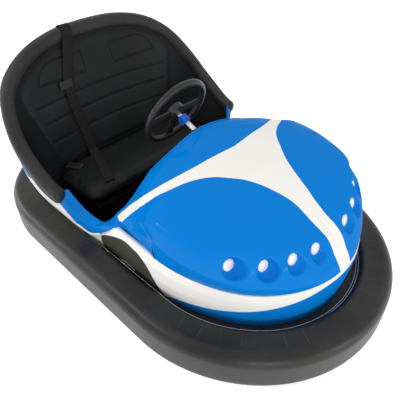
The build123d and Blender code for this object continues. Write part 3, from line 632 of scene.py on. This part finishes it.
def bonnet_rows(heights, share):
    """Bonnet skin on +Y, one row for each height; share is the part of a row's length from the nose.

    From the nose x = w + (n - w) cos(t)^(2/p), y = h sin(t)^(2/p) as far as the widest place (w, h).
    Behind it, with b the share of the way to the cowl edge, y falls as b^2 and by d b (1 - b)^2 more,
    where d = 80 (1 + 1.5 exp(-((z - 592) / 32)^2)).
    """
    nose, wide_x, wide, power, rear_x, rear_y = (c[:, None] for c in table(BONNET, heights).T)
    t = np.linspace(0, pi / 2, 400)[None, :]
    front_x = wide_x + (nose - wide_x) * np.cos(t) ** (2 / power)
    front_y = wide * np.sin(t) ** (2 / power)
    back = np.linspace(0, 1, 200)[None, 1:]
    drawn_in = 80.0 * (1 + 1.5 * bell(heights[:, None] - 592.0, 32.0))
    back_x = wide_x + (rear_x - wide_x) * back
    back_y = wide + (rear_y - wide) * back**2 - drawn_in * back * (1 - back) ** 2
    lines = np.stack([np.hstack([front_x, back_x]), np.hstack([front_y, back_y])], -1)
    return np.array([on_row(line, height, share) for line, height in zip(lines, heights)])


# ---------------- pieces, worked out in millimetres
# tyre plan: nose, half width, radius and half angle of the nose arc and of the tail arc
TYRE_NOSE, TYRE_HALF = 975.0, 600.0
TYRE_NOSE_R, TYRE_NOSE_TURN = 580.0, radians(45)
TYRE_TAIL_R, TYRE_TAIL_TURN = 870.0, radians(14)


def tyre_line(count):
    """Plan outline of the tyre: nose arc, side arcs, straights, corner arcs and tail arc."""
    side_r = (TYRE_HALF - TYRE_NOSE_R * sin(TYRE_NOSE_TURN)) / (1 - sin(TYRE_NOSE_TURN))
    side_x = TYRE_NOSE - TYRE_NOSE_R + (TYRE_NOSE_R - side_r) * cos(TYRE_NOSE_TURN)
    corner = (TYRE_HALF - TYRE_TAIL_R * sin(TYRE_TAIL_TURN)) / (1 - sin(TYRE_TAIL_TURN))
    sides = (TYRE_HALF, side_x, TYRE_HALF)
    x, y = outline(np.linspace(0, 1, 4000), TYRE_NOSE, TYRE_NOSE_R, *sides, corner, TYRE_TAIL_R, -TYRE_NOSE)
    half = even(np.stack([x, y, 0 * x], -1), count)
    return np.vstack([half, half[-2:0:-1] * (1, -1, 1)])


# -- tyre: one moulded ring, flat on top with a broad outer shoulder
def tyre_section():
    """Section (side, rise): two outer shoulders, a slightly hollow top, two inner shoulders and the foot."""
    outer_r, inner_r, width = 46, 20, 131
    quarter = np.linspace(0, pi / 2, 14)[:, None]
    shoulder = np.hstack([np.cos(quarter), np.sin(quarter)])
    return np.vstack([
        np.array([-outer_r, 125]) + outer_r * shoulder[::-1] * (1, -1),
        [(0, 140), (0, 168), (0, 196)],
        np.array([-outer_r, 212]) + outer_r * shoulder,
        [(-62, 257.6), (-80, 256.6), (-98, 257.0)],
        np.array([inner_r - width, 238]) + inner_r * shoulder[::-1] * (-1, 1),
        [(-width, 200), (-width, 150)],
        np.array([inner_r - width, 99]) + inner_r * shoulder * (-1, -1),
        [(-90, 79), (-68, 79)],
    ])


def run_on(line, gap):
    """Distances along a line, with one more for the step that closes it."""
    run = lengths(line)
    return np.append(run, run[-1] + gap)


tyre_path = tyre_line(420)
section = tyre_section()
ring = along(tyre_path, section, closed=True)
tyre_uv = MM * np.stack(np.meshgrid(run_on(tyre_path, 11.0), run_on(section, 40.0), indexing="ij"), -1)
fitted("tyre", ring, TYRE_RUBBER, "black rubber", ["bumper_tyre"], wrap=(True, True), uv=tyre_uv)

# -- bare edges of the steel channel inside the tyre
for name, inset, height in (("channel_edge_upper", 135.0, 231.0), ("channel_edge_inner", 143.5, 226.0)):
    bead = round_profile(1.9, 1.5, 2.4, 8) - np.array([inset, 0])
    wire = along(tyre_path + np.array([0, 0, height]), bead, closed=True)
    fitted(name, wire, BARE_EDGE, "channel steel", wrap=(True, True))

# -- painted lower body: (x, z) of the skirt line, of the blue behind the door and of the patch's curve
SKIRT = (
    (300, 190), (370, 228), (400, 240), (444, 252), (547, 274), (633, 297), (710, 324), (761, 346),
    (798, 368), (811, 374),
)
FLANK_BLUE = ((-700, 440), (-560, 445), (-450, 455), (-350, 470), (-260, 500), (-175, 560))
PATCH = (
    (-62, 250), (-51, 285), (-23, 315), (8, 333), (58, 357), (113, 370), (162, 367), (213, 357), (251, 331),
    (280, 291), (304, 225), (316, 190),
)
PATCH_END = -60.0
OVAL_X, OVAL_Z, OVAL_HALF_LONG, OVAL_HALF_HIGH = 100, 210, 52, 24


def even_shares(count, z=330.0):
    """Shares round the body wall that stand at even distances at this height."""
    share = np.linspace(0, 1, 4000)
    run = lengths(body_point(share, z))
    return np.interp(np.linspace(0, run[-1], count), run, share)


def body_marks(p):
    """Signed distances in metres: below the skirt line at the front or above the flank's blue line at the
    rear, under the patch's curve, and inside the oval."""
    x, z = p[..., 0], p[..., 2]
    skirt_x, flank_x, patch_from, patch_to = SKIRT[0][0], FLANK_BLUE[-1][0], PATCH[0][0], PATCH[-1][0]
    skirt = np.where(x > skirt_x, table(SKIRT, np.clip(x, skirt_x, SKIRT[-1][0])) - z, -200.0)
    flank = z - np.interp(x, *np.transpose(FLANK_BLUE))
    skirt = np.maximum(skirt, np.where(x < flank_x, flank, -200.0))
    patch = np.minimum(table(PATCH, np.clip(x, patch_from, patch_to)) - z, x - PATCH_END)
    patch = np.where((x < patch_from) | (x > patch_to), -100.0, patch)
    off_middle = np.hypot((x - OVAL_X) / OVAL_HALF_LONG, (z - OVAL_Z) / OVAL_HALF_HIGH)
    return {"skirt": skirt * MM, "patch": patch * MM, "oval": OVAL_HALF_HIGH * (1 - off_middle) * MM}


share = even_shares(400)
rise = np.linspace(0, 1, 52)[:, None]
BODY_FOOT = 200.0
top = np.full(share.shape, SEAM)
for _ in range(12):
    p = body_point(share, top)
    top = (top + top_edge(p[:, 0], p[:, 1])) / 2
wall = body_point(np.broadcast_to(share, (len(rise), len(share))), BODY_FOOT + (top - BODY_FOOT) * rise)
# the top is turned inwards under the bonnet's hem, and runs a little down behind the rim and the flanges
edge = wall[-1]
inward = -unit(np.cross(headings(edge), (0, 0, 1.0)))
seam = ease(40, 60, edge[:, :1])
lip = [
    edge + seam * (inward * a + np.array([0, 0, b])) - (1 - seam) * np.array([0, 0, 0.2 * a])
    for a, b in ((1.2, 0.7), (3.5, 1.2), (16.0, 1.2))
]
wall = np.concatenate([wall, np.array(lip)])
wall = np.concatenate([wall, wall[:, -2:0:-1] * (1, -1, 1)], 1)
form = {"wrap": (False, True), "marks": body_marks(wall), "flip": True}
body = fitted("body_shell", wall, BODY_PAINT, "white shell", ["lower_body"], **form)
modify(body, "SOLIDIFY", thickness=0.005, offset=-1.0)

# -- blue flanges over the two door sills
def shifted(line, *moves):
    """Copies of a line, each moved by (y, z)."""
    return np.array([line + np.array([0.0, y, z]) for y, z in moves])


def sill_flange():
    """The flange on +Y: outer lip, face bulged by 2, rounded crease, top hollowed by 2.5 and drop."""
    outer, crease, inner = (spaced(line, 110) for line in (DIP, SILL_CREASE, SILL_INNER))
    bend_from, bend_to = (crease + 0.22 * (line - crease) for line in (outer, inner))
    t = np.linspace(0, 1, 12)[:, None, None]
    bend = bend_from * (1 - t) ** 2 + 2 * crease * t * (1 - t) + bend_to * t**2
    t = np.linspace(0, 1, 9)[:-1, None, None]
    face = outer * (1 - t) + bend_from * t + np.array([0, 2.0, 0]) * np.sin(pi * t)
    t = np.linspace(0, 1, 14)[1:, None, None]
    top_face = bend_to * (1 - t) + inner * t - np.array([0, 0, 2.5]) * np.sin(pi * t)
    lip = shifted(outer, (-6.0, -3.0), (1.6, -2.0), (2.2, -1.0))
    drop = shifted(inner, (-1.5, -1.5), (-3.5, -6.0), (-4.5, -20.0), (-5.0, -60.0))
    return np.concatenate([lip, face, bend, top_face, drop])


for side, sign in SIDES:
    flange = sill_flange() * (1, sign, 1)
    fitted("sill_flange_" + side, flange, BLUE_PAINT, "blue shell", ["door_sill_" + side], flip=sign > 0)


# -- bonnet with its lamp sockets
# edges of the white on +Y: along the middle blue leaf and down the side, and ahead of the blue at the cowl
LEAF = (
    (809, 33, 394), (792, 34, 424), (765, 36, 455), (717, 35, 504), (655, 38, 552), (590, 46, 593),
    (529, 64, 616), (466, 90, 635), (428, 112, 643), (384, 148, 650), (343, 182, 652), (300, 240, 648),
    (283, 272, 643), (268, 306, 636), (253, 341, 627), (234, 372, 613), (216, 395, 592), (167, 398, 539),
    (124, 392, 492), (97, 394, 461), (77, 402, 436), (56, 412, 406),
)
REAR_BLUE = (
    (277, 0, 667), (272, 50, 667), (262, 130, 664), (254, 193, 658), (245, 235, 652), (234, 274, 644),
    (219, 310, 631), (202, 344, 615), (179, 373, 592), (125, 371, 536), (78, 366, 488), (53, 372, 459),
    (34, 388, 433), (17, 401, 409), (6, 405, 392),
)
# lamps on +Y: centre of the lens and its turn outwards in degrees, all tilted up alike
LAMPS = ((575, 370, 523, 10), (651, 287, 510, 9), (701, 195, 505, 8), (727, 98, 500, 7))
LAMP_RISE = radians(16)


def folded_over(p):
    """Points with those on the right mirrored to +Y."""
    return np.stack([p[..., 0], np.abs(p[..., 1]), p[..., 2]], -1)


def out_from_middle(p):
    """How far round the bonnet a point lies from its centre line: sideways plus the drop below the crown."""
    return np.abs(p[..., 1]) + 0.9 * (BONNET[-1][0] - p[..., 2])


def near_line(points, line):
    """Distance from each point to the nearest stretch of a polyline."""
    a, b = line[:-1], line[1:]
    ab = b - a
    rel = points[..., None, :] - a
    t = np.clip((rel * ab).sum(-1) / (ab**2).sum(-1), 0, 1)
    return np.linalg.norm(rel - t[..., None] * ab, axis=-1).min(-1)


def stripe_mark(p):
    """Metres into the white from the nearer of the two blue edges, negative inside the blue."""
    q = folded_over(p)
    leaf, rear = spaced(LEAF, 90), spaced(REAR_BLUE, 60)
    w = out_from_middle(q)
    leaf_w = np.interp(q[..., 0], leaf[::-1, 0], out_from_middle(leaf)[::-1])
    order = np.argsort(out_from_middle(rear))
    rear_x = np.interp(w, out_from_middle(rear)[order], rear[order, 0])
    in_leaf = np.where(w > leaf_w, 1, -1) * near_line(q, leaf)
    in_rear = np.where(q[..., 0] < rear_x, 1, -1) * near_line(q, rear)
    return -np.maximum(in_leaf, in_rear) * MM


def grid_normals(grid):
    """Unit normals from the slopes along both directions of the grid."""
    return unit(np.cross(np.gradient(grid, axis=0), np.gradient(grid, axis=1)))


def outward_normals(grid):
    """Unit normals of a bonnet grid, turned away from a point inside the car."""
    normals = grid_normals(grid)
    return normals * np.sign((normals * (grid - np.array([300, 0, 200]))).sum(-1))[..., None]


def whole(half):
    """A bonnet grid on +Y with its mirror image, the centre line once."""
    return np.concatenate([half[:, :0:-1] * (1, -1, 1), half], 1)


def lamp_places():
    """Centre and facing direction of each lamp, right side first."""
    for _, sign in SIDES:
        for x, y, z, turn in LAMPS:
            level = np.array([cos(radians(turn)), sign * sin(radians(turn)), 0])
            axis = cos(LAMP_RISE) * level + np.array([0, 0, sin(LAMP_RISE)])
            yield np.array([x, sign * y, z], float), axis


def swell(grid):
    """Smooth swelling along the line through the lamps: 15 exp(-(distance / 62)^2)."""
    line = np.array([(545, 425, 530), *(lamp[:3] for lamp in LAMPS), (738, 40, 498)], float)
    return 15.0 * bell(near_line(folded_over(grid), line), 62.0)


# lamp socket: bowl radius and its middle ahead of and below the lens, cone and its widening, pod behind the
# lens, the skin's two steps and how often each is taken, and the reach of one lamp
BOWL_R, BOWL_AHEAD, BOWL_BELOW = 41.0, 30.0, 9.0
CONE_R, CONE_WIDENING, CONE_LENGTH = 26.0, 0.35, 60
POD_R, POD_LENGTH = 29.0, 90
SINK, SINK_STEPS, RISE, RISE_STEPS = 1.5, 48, 1.2, 28
LAMP_REACH = 130


def ahead_and_aside(points, centre, axis):
    """Distance ahead of a plane 3 behind the lens centre, and distance from the lamp's axis."""
    along_axis = (points - centre) @ axis
    return along_axis + 3.0, np.linalg.norm(points - centre - along_axis[..., None] * axis, axis=-1)


def socketed(grid, normals):
    """The skin with its lamp sockets, moved step by step along the skin's normal at each lamp.

    Ahead of a lens the skin sinks for as long as it is inside the bowl, a sphere, or the cone
    r < 26 + 0.35 a, a the distance ahead. Behind the lens it rises while it is inside the pod
    r < 29 (1 - (a / 90)^2), a the distance behind.
    """
    here = grid
    for centre, axis in lamp_places():
        off_lamp = np.linalg.norm(grid - centre, axis=-1)
        away = normals[np.unravel_index(np.argmin(off_lamp), off_lamp.shape)]
        near = off_lamp < LAMP_REACH
        lower = unit(np.array([0, 0, -1.0]) + away * away[2])
        middle = centre + axis * BOWL_AHEAD + lower * BOWL_BELOW
        for _ in range(SINK_STEPS):
            ahead, aside = ahead_and_aside(here, centre, axis)
            bowl = np.linalg.norm(here - middle, axis=-1) - BOWL_R
            cone = aside - (CONE_R + CONE_WIDENING * np.clip(ahead, 0, CONE_LENGTH))
            inside = near & (ahead > 0) & (np.minimum(bowl, cone) < 0)
            here = np.where(inside[..., None], here - SINK * away, here)
        for _ in range(RISE_STEPS):
            ahead, aside = ahead_and_aside(here, centre, axis)
            pod = POD_R * (1 - (np.clip(-ahead, 0, POD_LENGTH) / POD_LENGTH) ** 2)
            inside = near & (ahead < -1.5) & (ahead > -POD_LENGTH) & (aside < pod)
            here = np.where(inside[..., None], here + RISE * away, here)
    return here


def smoothed(field, times):
    """Averages of 1-2-1 over rows and columns, repeated."""
    for _ in range(times):
        for axis in (0, 1):
            wide = np.pad(field, [(1, 1) if k == axis else (0, 0) for k in range(3)], mode="edge")
            before, after = (np.take(wide, np.arange(field.shape[axis]) + k, axis) for k in (0, 2))
            field = (before + 2 * field + after) / 4
    return field


BONNET_FOOT = 394
stretches = ((BONNET_FOOT, 440, 10), (442.5, 560, 50), (563, 640, 34), (642, 672, 22), (673, 682, 12))
heights = np.concatenate([np.linspace(*stretch) for stretch in stretches])
share = np.concatenate([np.linspace(0, 0.60, 215), np.linspace(0.605, 1, 60)])
skin = whole(bonnet_rows(heights, share))
stripe = stripe_mark(skin)
normals = outward_normals(skin)
skin = skin + normals * (swell(skin) * ease(BONNET_FOOT, 425, skin[..., 2]))[..., None]
skin = skin + smoothed(socketed(skin, normals) - skin, 2)
# the hem is turned in under the lowest row and takes that row's colour
inward = -unit(normals[0] * (1, 1, 0))
hem = np.array([skin[0] + inward * a - np.array([0, 0, b]) for a, b in ((9.0, 0.8), (2.2, 0.9), (0.5, 0.5))])
stripe = np.concatenate([np.repeat(stripe[:1], len(hem), 0), stripe])
replaced = ["bonnet", "lamp_cups_right", "lamp_cups_left"]
skin = np.concatenate([hem, skin])
fitted("bonnet_skin", skin, BONNET_PAINT, "blue shell", replaced, marks={"stripe": stripe})

# -- lamp covers
LENS_R, LENS_DOME = 21.5, 5.0


def lens_form(centre, axis):
    """Round cover: flat back, straight side and a face domed by 5 (1 - (r / 21.5)^2)."""
    r = np.linspace(LENS_R - 0.5, 0.02, 10)
    face = np.stack([0.2 + LENS_DOME * (1 - (r / LENS_R) ** 2), r], -1)
    profile = np.vstack([[(-9.0, 0.02), (-9.0, LENS_R), (-0.6, LENS_R)], face])
    return turned(centre, axis, profile, 40)


lens_meshes = [surface("lens", lens_form(*lamp), wrap=(True, False), flip=True) for lamp in lamp_places()]
for (side, _), meshes in zip(SIDES, (lens_meshes[: len(LAMPS)], lens_meshes[len(LAMPS) :])):
    place(joined("lamp_covers_" + side, meshes), LENS, ["lamp_lenses_" + side])

# -- dark inside of the bonnet, 11 below its skin and up to 46 more below each lamp, and the rolled cowl edge
under = whole(bonnet_rows(np.linspace(410, 672, 90), np.linspace(0, 0.975, 130)))
depth = 11.0 + sum(46.0 * bell(np.linalg.norm(under - centre, axis=-1), 75.0) for centre, _ in lamp_places())
under = under - depth[..., None] * outward_normals(under)
fitted("bonnet_lining", under, DARK_FIBRE_AND_SHADE, "black shell", flip=True)

cowl = bonnet_rows(np.linspace(BONNET_FOOT, BONNET[-1][0], 120), np.array([1.0]))[:, 0]
cowl = np.vstack([cowl, cowl[-2::-1] * (1, -1, 1)])
lip = along(cowl, round_profile(4.5, 4.5, 2.0, 12), up=(1, 0, 0.2))
fitted("cowl_edge", lip, BLUE_PAINT, "blue shell", wrap=(False, True))


# -- stuffed pads
def applied(piece):
    """The piece's mesh as its modifiers make it, which are then taken off."""
    mesh = bpy.data.meshes.new_from_object(piece.evaluated_get(bpy.context.evaluated_depsgraph_get()))
    piece.modifiers.clear()
    return mesh


def reshaped(mesh, points):
    """Moves a mesh's vertices to these places in metres."""
    mesh.vertices.foreach_set("co", points.astype(np.float32).reshape(-1))
    mesh.update()


def blown_up(piece, pressure, cap):
    """Twenty frames of cloth with pressure and no gravity; a move m is cut to cap x tanh(m / cap)."""
    rest = vertices(piece.data)
    cloth = modify(piece, "CLOTH").settings
    cloth.use_pressure, cloth.uniform_pressure_force = True, pressure
    cloth.effector_weights.gravity = 0
    cloth.quality = 4
    for step in range(1, 21):
        bpy.context.scene.frame_set(step)
    blown = applied(piece)
    bpy.context.scene.frame_set(1)
    move = vertices(blown) - rest
    far = np.linalg.norm(move, axis=1, keepdims=True)
    reshaped(piece.data, rest + move * cap * np.tanh(far / cap) / np.maximum(far, 1e-9))
    bpy.data.meshes.remove(blown)


def stuffed(name, grid, stands_for, pressure, cap, voxel=0.006):
    """A pad closed round its second direction, remeshed in voxels and blown up."""
    piece = fitted(name, grid, PAD_VINYL, "padding", [stands_for], wrap=(False, True))
    modify(piece, "REMESH", mode="VOXEL", voxel_size=voxel, use_smooth_shade=True)
    piece.data = applied(piece)
    blown_up(piece, pressure, cap)
    piece.data.polygons.foreach_set("use_smooth", np.ones(len(piece.data.polygons), bool))
    piece.data.update()
    return piece


# -- padded rim, its ends rounded over this length
ROLL_END = 26
rim_path = round_tail(RIM, 260)
run = lengths(rim_path)
from_end = np.minimum(run, run[-1] - run)
rounding = np.sqrt(np.clip(1 - (1 - from_end / ROLL_END) ** 2, 0.0004, 1))
roll = along(rim_path, round_profile(30, 32, 2.7, 40), sizes=np.where(from_end < ROLL_END, rounding, 1.0))
rim = fitted("rim_roll", roll, RIM_VINYL, "padding", ["rim_padding"], wrap=(False, True))

# -- inner liner of the seat shell, ruled from its foot to the rim's inner side
LINER_FOOT_Z = 300
LINER_FOOT = (
    (-175, 432), (-240, 432), (-300, 431), (-350, 426), (-392, 412), (-420, 388), (-437, 355), (-446, 315),
    (-450, 270), (-452, 220), (-453, 165), (-454, 110), (-454, 55), (-454, 0),
)
LINER_ROWS, LINER_COLUMNS = 80, 201
high = along(round_tail(RIM, LINER_COLUMNS), [(21.0, -9.0)])[:, 0]
low = round_tail([(x, y, LINER_FOOT_Z) for x, y in LINER_FOOT], LINER_COLUMNS)
t = np.linspace(0, 1, LINER_ROWS)[:, None, None]
liner = low * (1 - t) + high * t
# the liner's vinyl is darkened as painted shade
fitted("seat_lining", liner, SHADED_LINER_VINYL, "padding", ["seat_liner"])


# -- back pad: the middle of the liner brought forward, its edges tucked behind the liner
def back_pad_form():
    """The pad's face 9 f - 3 ahead of the liner and its back 3 + 15 f behind it, from edge to edge, where
    f = ((1 - u^8) (1 - v^10))^(1/2)."""
    sheet = liner[12:77, 50:-50]
    out = grid_normals(sheet)
    out *= np.sign(out[..., :1])
    v = np.linspace(-1, 1, sheet.shape[0])[:, None]
    u = np.linspace(-1, 1, sheet.shape[1])[None, :]
    fall = np.sqrt(np.maximum((1 - np.abs(u) ** 8) * (1 - np.abs(v) ** 10), 0))[..., None]
    face, behind = sheet + out * (9.0 * fall - 3.0), sheet - out * (3.0 + 15.0 * fall)
    form = np.concatenate([face, behind[:, ::-1]], 1)
    # the first and last rows are folded flat, so that the form is closed
    ends = [(row + row[::-1])[None] / 2 for row in (form[0], form[-1])]
    return np.concatenate([ends[0], form, ends[1]])


back_pad = stuffed("back_pad", back_pad_form(), "seat_back_pad", pressure=3.0, cap=0.004)


# -- seams of the back pad: the thread's radius and how far it lies behind the face, and its groove
THREAD_R, THREAD_SUNK = 2.1, 2.9
GROOVE_DEPTH, GROOVE_WIDTH = 4.0, 6.0
# the liner's middle line leans back by this much for each step up
BACK_SLOPE = 0.2685


def on_face(line_yz):
    """Points of a (y, z) line laid on the pad's face: x is that of the nearest vertex of the face."""
    points = vertices(back_pad.data) / MM
    liner_x = LINER_FOOT[-1][0] - BACK_SLOPE * (points[:, 2] - LINER_FOOT_Z)
    points = points[points[:, 0] - liner_x > -6.0]
    flat = np.linalg.norm(points[None, :, 1:] - line_yz[:, None, :], axis=-1)
    return np.concatenate([points[np.argmin(flat, axis=1), :1], line_yz], 1)


def stitched(name, line_yz, closed=False):
    """Sewn line: the pad's face drops by 4 exp(-(d / 6)^2) at distance d, and a thread lies in the groove."""
    line = on_face(line_yz)
    line[:, 0] = np.convolve(np.pad(line[:, 0], 3, mode="edge"), np.ones(7) / 7, mode="valid")
    points = vertices(back_pad.data) / MM
    route = np.vstack([line, line[:1]]) if closed else line
    points[:, 0] -= GROOVE_DEPTH * bell(near_line(points, route), GROOVE_WIDTH)
    reshaped(back_pad.data, points * MM)
    sunk = line - np.array([THREAD_SUNK, 0, 0])
    thread = along(sunk, round_profile(THREAD_R, THREAD_R, 2.0, 8), closed=closed, up=(1, 0, 0))
    fitted(name, thread, THREAD, "padding", wrap=(closed, True))


HEAD_PANEL = (
    (80, 836), (155, 838), (214, 837), (240, 835), (262, 829), (280, 820), (295, 807), (309, 786), (318, 768),
    (325, 752), (210, 749), (80, 747), (80, 836),
)
for side, sign in SIDES:
    panel = even(np.array(HEAD_PANEL, float) * (sign, 1), 150, closed=True)
    stitched("head_panel_seam_" + side, panel, closed=True)
for number, (middle, half) in enumerate(((684, 392), (608, 372), (524, 352)), 1):
    y = np.linspace(-half, half, 160)
    stitched("back_seam_%d" % number, np.stack([y, middle - 18.0 * (y / 390.0) ** 2], -1))
modify(back_pad, "SUBSURF", levels=1, render_levels=1)


def pad_form(half_wide, half_high, half_thick, corner, edge, rows=40, columns=60):
    """Closed pad round its own middle: a superellipse outline of power corner, drawn in towards both faces by
    |sin t|^(2/edge) as its height goes with the power 2.6 of cos t."""
    a = np.linspace(0, 2 * pi, columns, endpoint=False)[None, :]
    t = np.linspace(0, pi, rows)[:, None]
    r = powered(np.sin(t), edge)
    x = half_wide * r * powered(np.cos(a), corner)
    y = half_high * r * powered(np.sin(a), corner)
    z = half_thick * powered(np.cos(t), 2.6)
    return np.stack(np.broadcast_arrays(x, y, z), -1)


cushion_form = np.array([-335, 0, 354.5]) + pad_form(160, 398, 33, 6.0, 8.0)
cushion = stuffed("seat_cushion_pad", cushion_form, "seat_cushion", pressure=4.0, cap=0.010)
modify(cushion, "SUBSURF", levels=1, render_levels=1)

# -- shoulder belt
BELT_RUN = (
    (-664, -112, 872), (-670, -112, 905), (-667, -112, 930), (-655, -112, 947), (-637, -113, 952),
    (-618, -114, 947), (-604, -116, 932), (-598, -124, 905), (-592, -136, 872), (-579, -160, 815),
    (-558, -188, 735), (-541, -196, 665), (-521, -193, 590), (-499, -187, 510), (-480, -180, 432),
    (-466, -178, 404), (-440, -186, 396), (-400, -198, 395.5), (-330, -222, 395.5), (-260, -250, 394.5),
    (-212, -270, 391.5),
)
BELT_HALF_WIDE = 24


def resting(line, piece, axis, stretch):
    """Lifts a stretch of a line out of a pad: its coordinate on the axis becomes at least 3.5 more than that
    of any of the pad's vertices within 20 of it, seen along the axis."""
    points = vertices(piece.data) / MM
    flat = [k for k in range(3) if k != axis]
    low, high = line[stretch].min(0) - 40.0, line[stretch].max(0) + 40.0
    points = points[((points > low) & (points < high))[:, flat].all(-1)]
    gap = np.linalg.norm(points[None, :, flat] - line[stretch][:, None, flat], axis=-1)
    top = np.where(gap < 20.0, points[None, :, axis], -1e6).max(1)
    line[stretch, axis] = np.maximum(line[stretch, axis], top + 3.5)


belt_line = spaced(BELT_RUN, 240)
ends = belt_line[[0, -1]].copy()
x, _, z = belt_line.T
resting(belt_line, back_pad, 0, (z > 410) & (z < 900) & (x > -602))
resting(belt_line, cushion, 2, (x > -462) & (z < 420))
for _ in range(6):
    belt_line[1:-1] = (belt_line[:-2] + 2 * belt_line[1:-1] + belt_line[2:]) / 4
belt_line[[0, -1]] = ends
across = np.linspace(-BELT_HALF_WIDE, BELT_HALF_WIDE, 7)
onward = headings(belt_line)
sideways = np.cross(onward, unit(np.cross(onward, (0, 1.0, 0))))
sideways = unit(sideways * np.sign(sideways[:, 1:2]))
belt_grid = belt_line[:, None] + across[None, :, None] * sideways[:, None]
belt_uv = MM * np.stack(np.meshgrid(lengths(belt_line), across + BELT_HALF_WIDE, indexing="ij"), -1)
belt = fitted("shoulder_strap", belt_grid, STRAP, "webbing", ["shoulder_belt"], uv=belt_uv)
modify(belt, "SOLIDIFY", thickness=0.0018, offset=0.0)

# ---------------- plain solids that stay, with their finishes
FINISHES = (
    (CHANNEL_PAINT, "bumper_channel"),
    (FRAME_PAINT, "floor_plate frame_rails rear_bracket_right rear_bracket_left"),
    (FRAME_PAINT, "drive_bridge drive_fork drive_motor"),
    (SHAFT_STEEL, "rear_hub_right rear_hub_left drive_hub drive_pedal steering_shaft"),
    (GRIP, "rear_tread_right rear_tread_left drive_tyre floor_mat steering_wheel"),
    # the seat base and front bulkhead are darkened to near black: painted shade
    (DARK_FIBRE_AND_SHADE, "seat_base front_bulkhead"),
    (BLACK_PLASTIC, "battery_pack dash_panel column_housing belt_adjusters belt_buckle"),
    (RED, "start_button"),
    (CLAMP_BLUE, "steering_joint"),
)
for finish, nodes in FINISHES:
    for node in nodes.split():
        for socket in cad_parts[node].material_slots:
            socket.material = finish


# ---------------- stage, light and camera
def floor_finish():
    """Pale matt floor that shows white where nothing shades it."""
    shop = new_material("studio floor")
    cloud = shop.noise(1.2)
    seen = shop.seen_by("Camera", "Glossy", "Transmission")
    colour = shop.mix(cloud * 0.04, (0.86, 0.86, 0.86), (0.80, 0.80, 0.80))
    matt = shop.add("BsdfDiffuse", {"Color": colour})
    glow = shop.add("Emission", {"Color": (1, 1, 1, 1), "Strength": seen * 0.60})
    return shop.finished(shop.add("AddShader", {0: matt, 1: glow}))


def soft_sky():
    """Even white light all round, a little stronger where it is seen itself."""
    shop = Shop(bpy.data.worlds.new("studio"))
    strength = 0.85 + shop.seen_by("Camera", "Transmission") * 0.15
    glow = shop.add("Background", {"Color": (1, 1, 1, 1), "Strength": strength})
    return shop.finished(glow, "World")


def soft_box(name, spot, aim, size, power):
    """Rectangular area lamp at a place, facing a point."""
    lamp = bpy.data.lights.new(name, "AREA")
    lamp.shape, lamp.energy = "RECTANGLE", power
    lamp.size, lamp.size_y = size
    facing = (Vector(aim) - Vector(spot)).to_track_quat("-Z", "Y").to_matrix().to_4x4()
    linked(name, lamp).matrix_world = Matrix.Translation(spot) @ facing


FLOOR_REACH = 30000.0
spread = (-FLOOR_REACH, 0.0, FLOOR_REACH)
floor_grid = np.stack(np.meshgrid(spread, spread, [0.0], indexing="ij"), -1)[:, :, 0]
floor = linked("studio_floor", surface("studio_floor", floor_grid))
floor.data.materials.append(floor_finish())
bpy.context.scene.world = soft_sky()

soft_box("overhead_light", (-0.9, 0.2, 3.4), (0.1, 0, 0.4), (3.6, 3.6), 9)
soft_box("side_light", (-1.7, -2.8, 3.1), (0.1, -0.35, 0.5), (2.2, 0.09), 30)
soft_box("front_light", (3.6, -2.6, 1.1), (0.5, -0.3, 0.3), (1.8, 0.9), 36)
soft_box("nose_light", (4.6, 0.5, 0.9), (0.8, -0.1, 0.3), (1.6, 0.5), 26)
soft_box("rear_light", (-3.8, -2.6, 1.3), (0.0, -0.4, 0.5), (2.0, 0.10), 40)

# camera: place in metres, direction of view and roll in radians, and its lens in millimetres
CAMERA_PLACE, CAMERA_LENS = (1.149887, -1.081527, 1.549681), 38.3647
AZIMUTH, ELEVATION, ROLL = 2.34701, 0.692976, -0.012638
ahead = np.array([cos(ELEVATION) * cos(AZIMUTH), cos(ELEVATION) * sin(AZIMUTH), -sin(ELEVATION)])
right = np.array([sin(AZIMUTH), -cos(AZIMUTH), 0])
above = np.cross(right, ahead)
right, above = cos(ROLL) * right + sin(ROLL) * above, cos(ROLL) * above - sin(ROLL) * right
eye = bpy.data.cameras.new("camera")
eye.sensor_width, eye.lens, eye.clip_end = 36, CAMERA_LENS, 100
camera = linked("camera", eye)
turn = np.eye(4)
turn[:3, :3] = np.stack([right, above, -ahead], -1)
turn[:3, 3] = CAMERA_PLACE
camera.matrix_world = Matrix(turn.tolist())
bpy.context.scene.camera = camera
bpy.context.scene.view_settings.view_transform = "Standard"
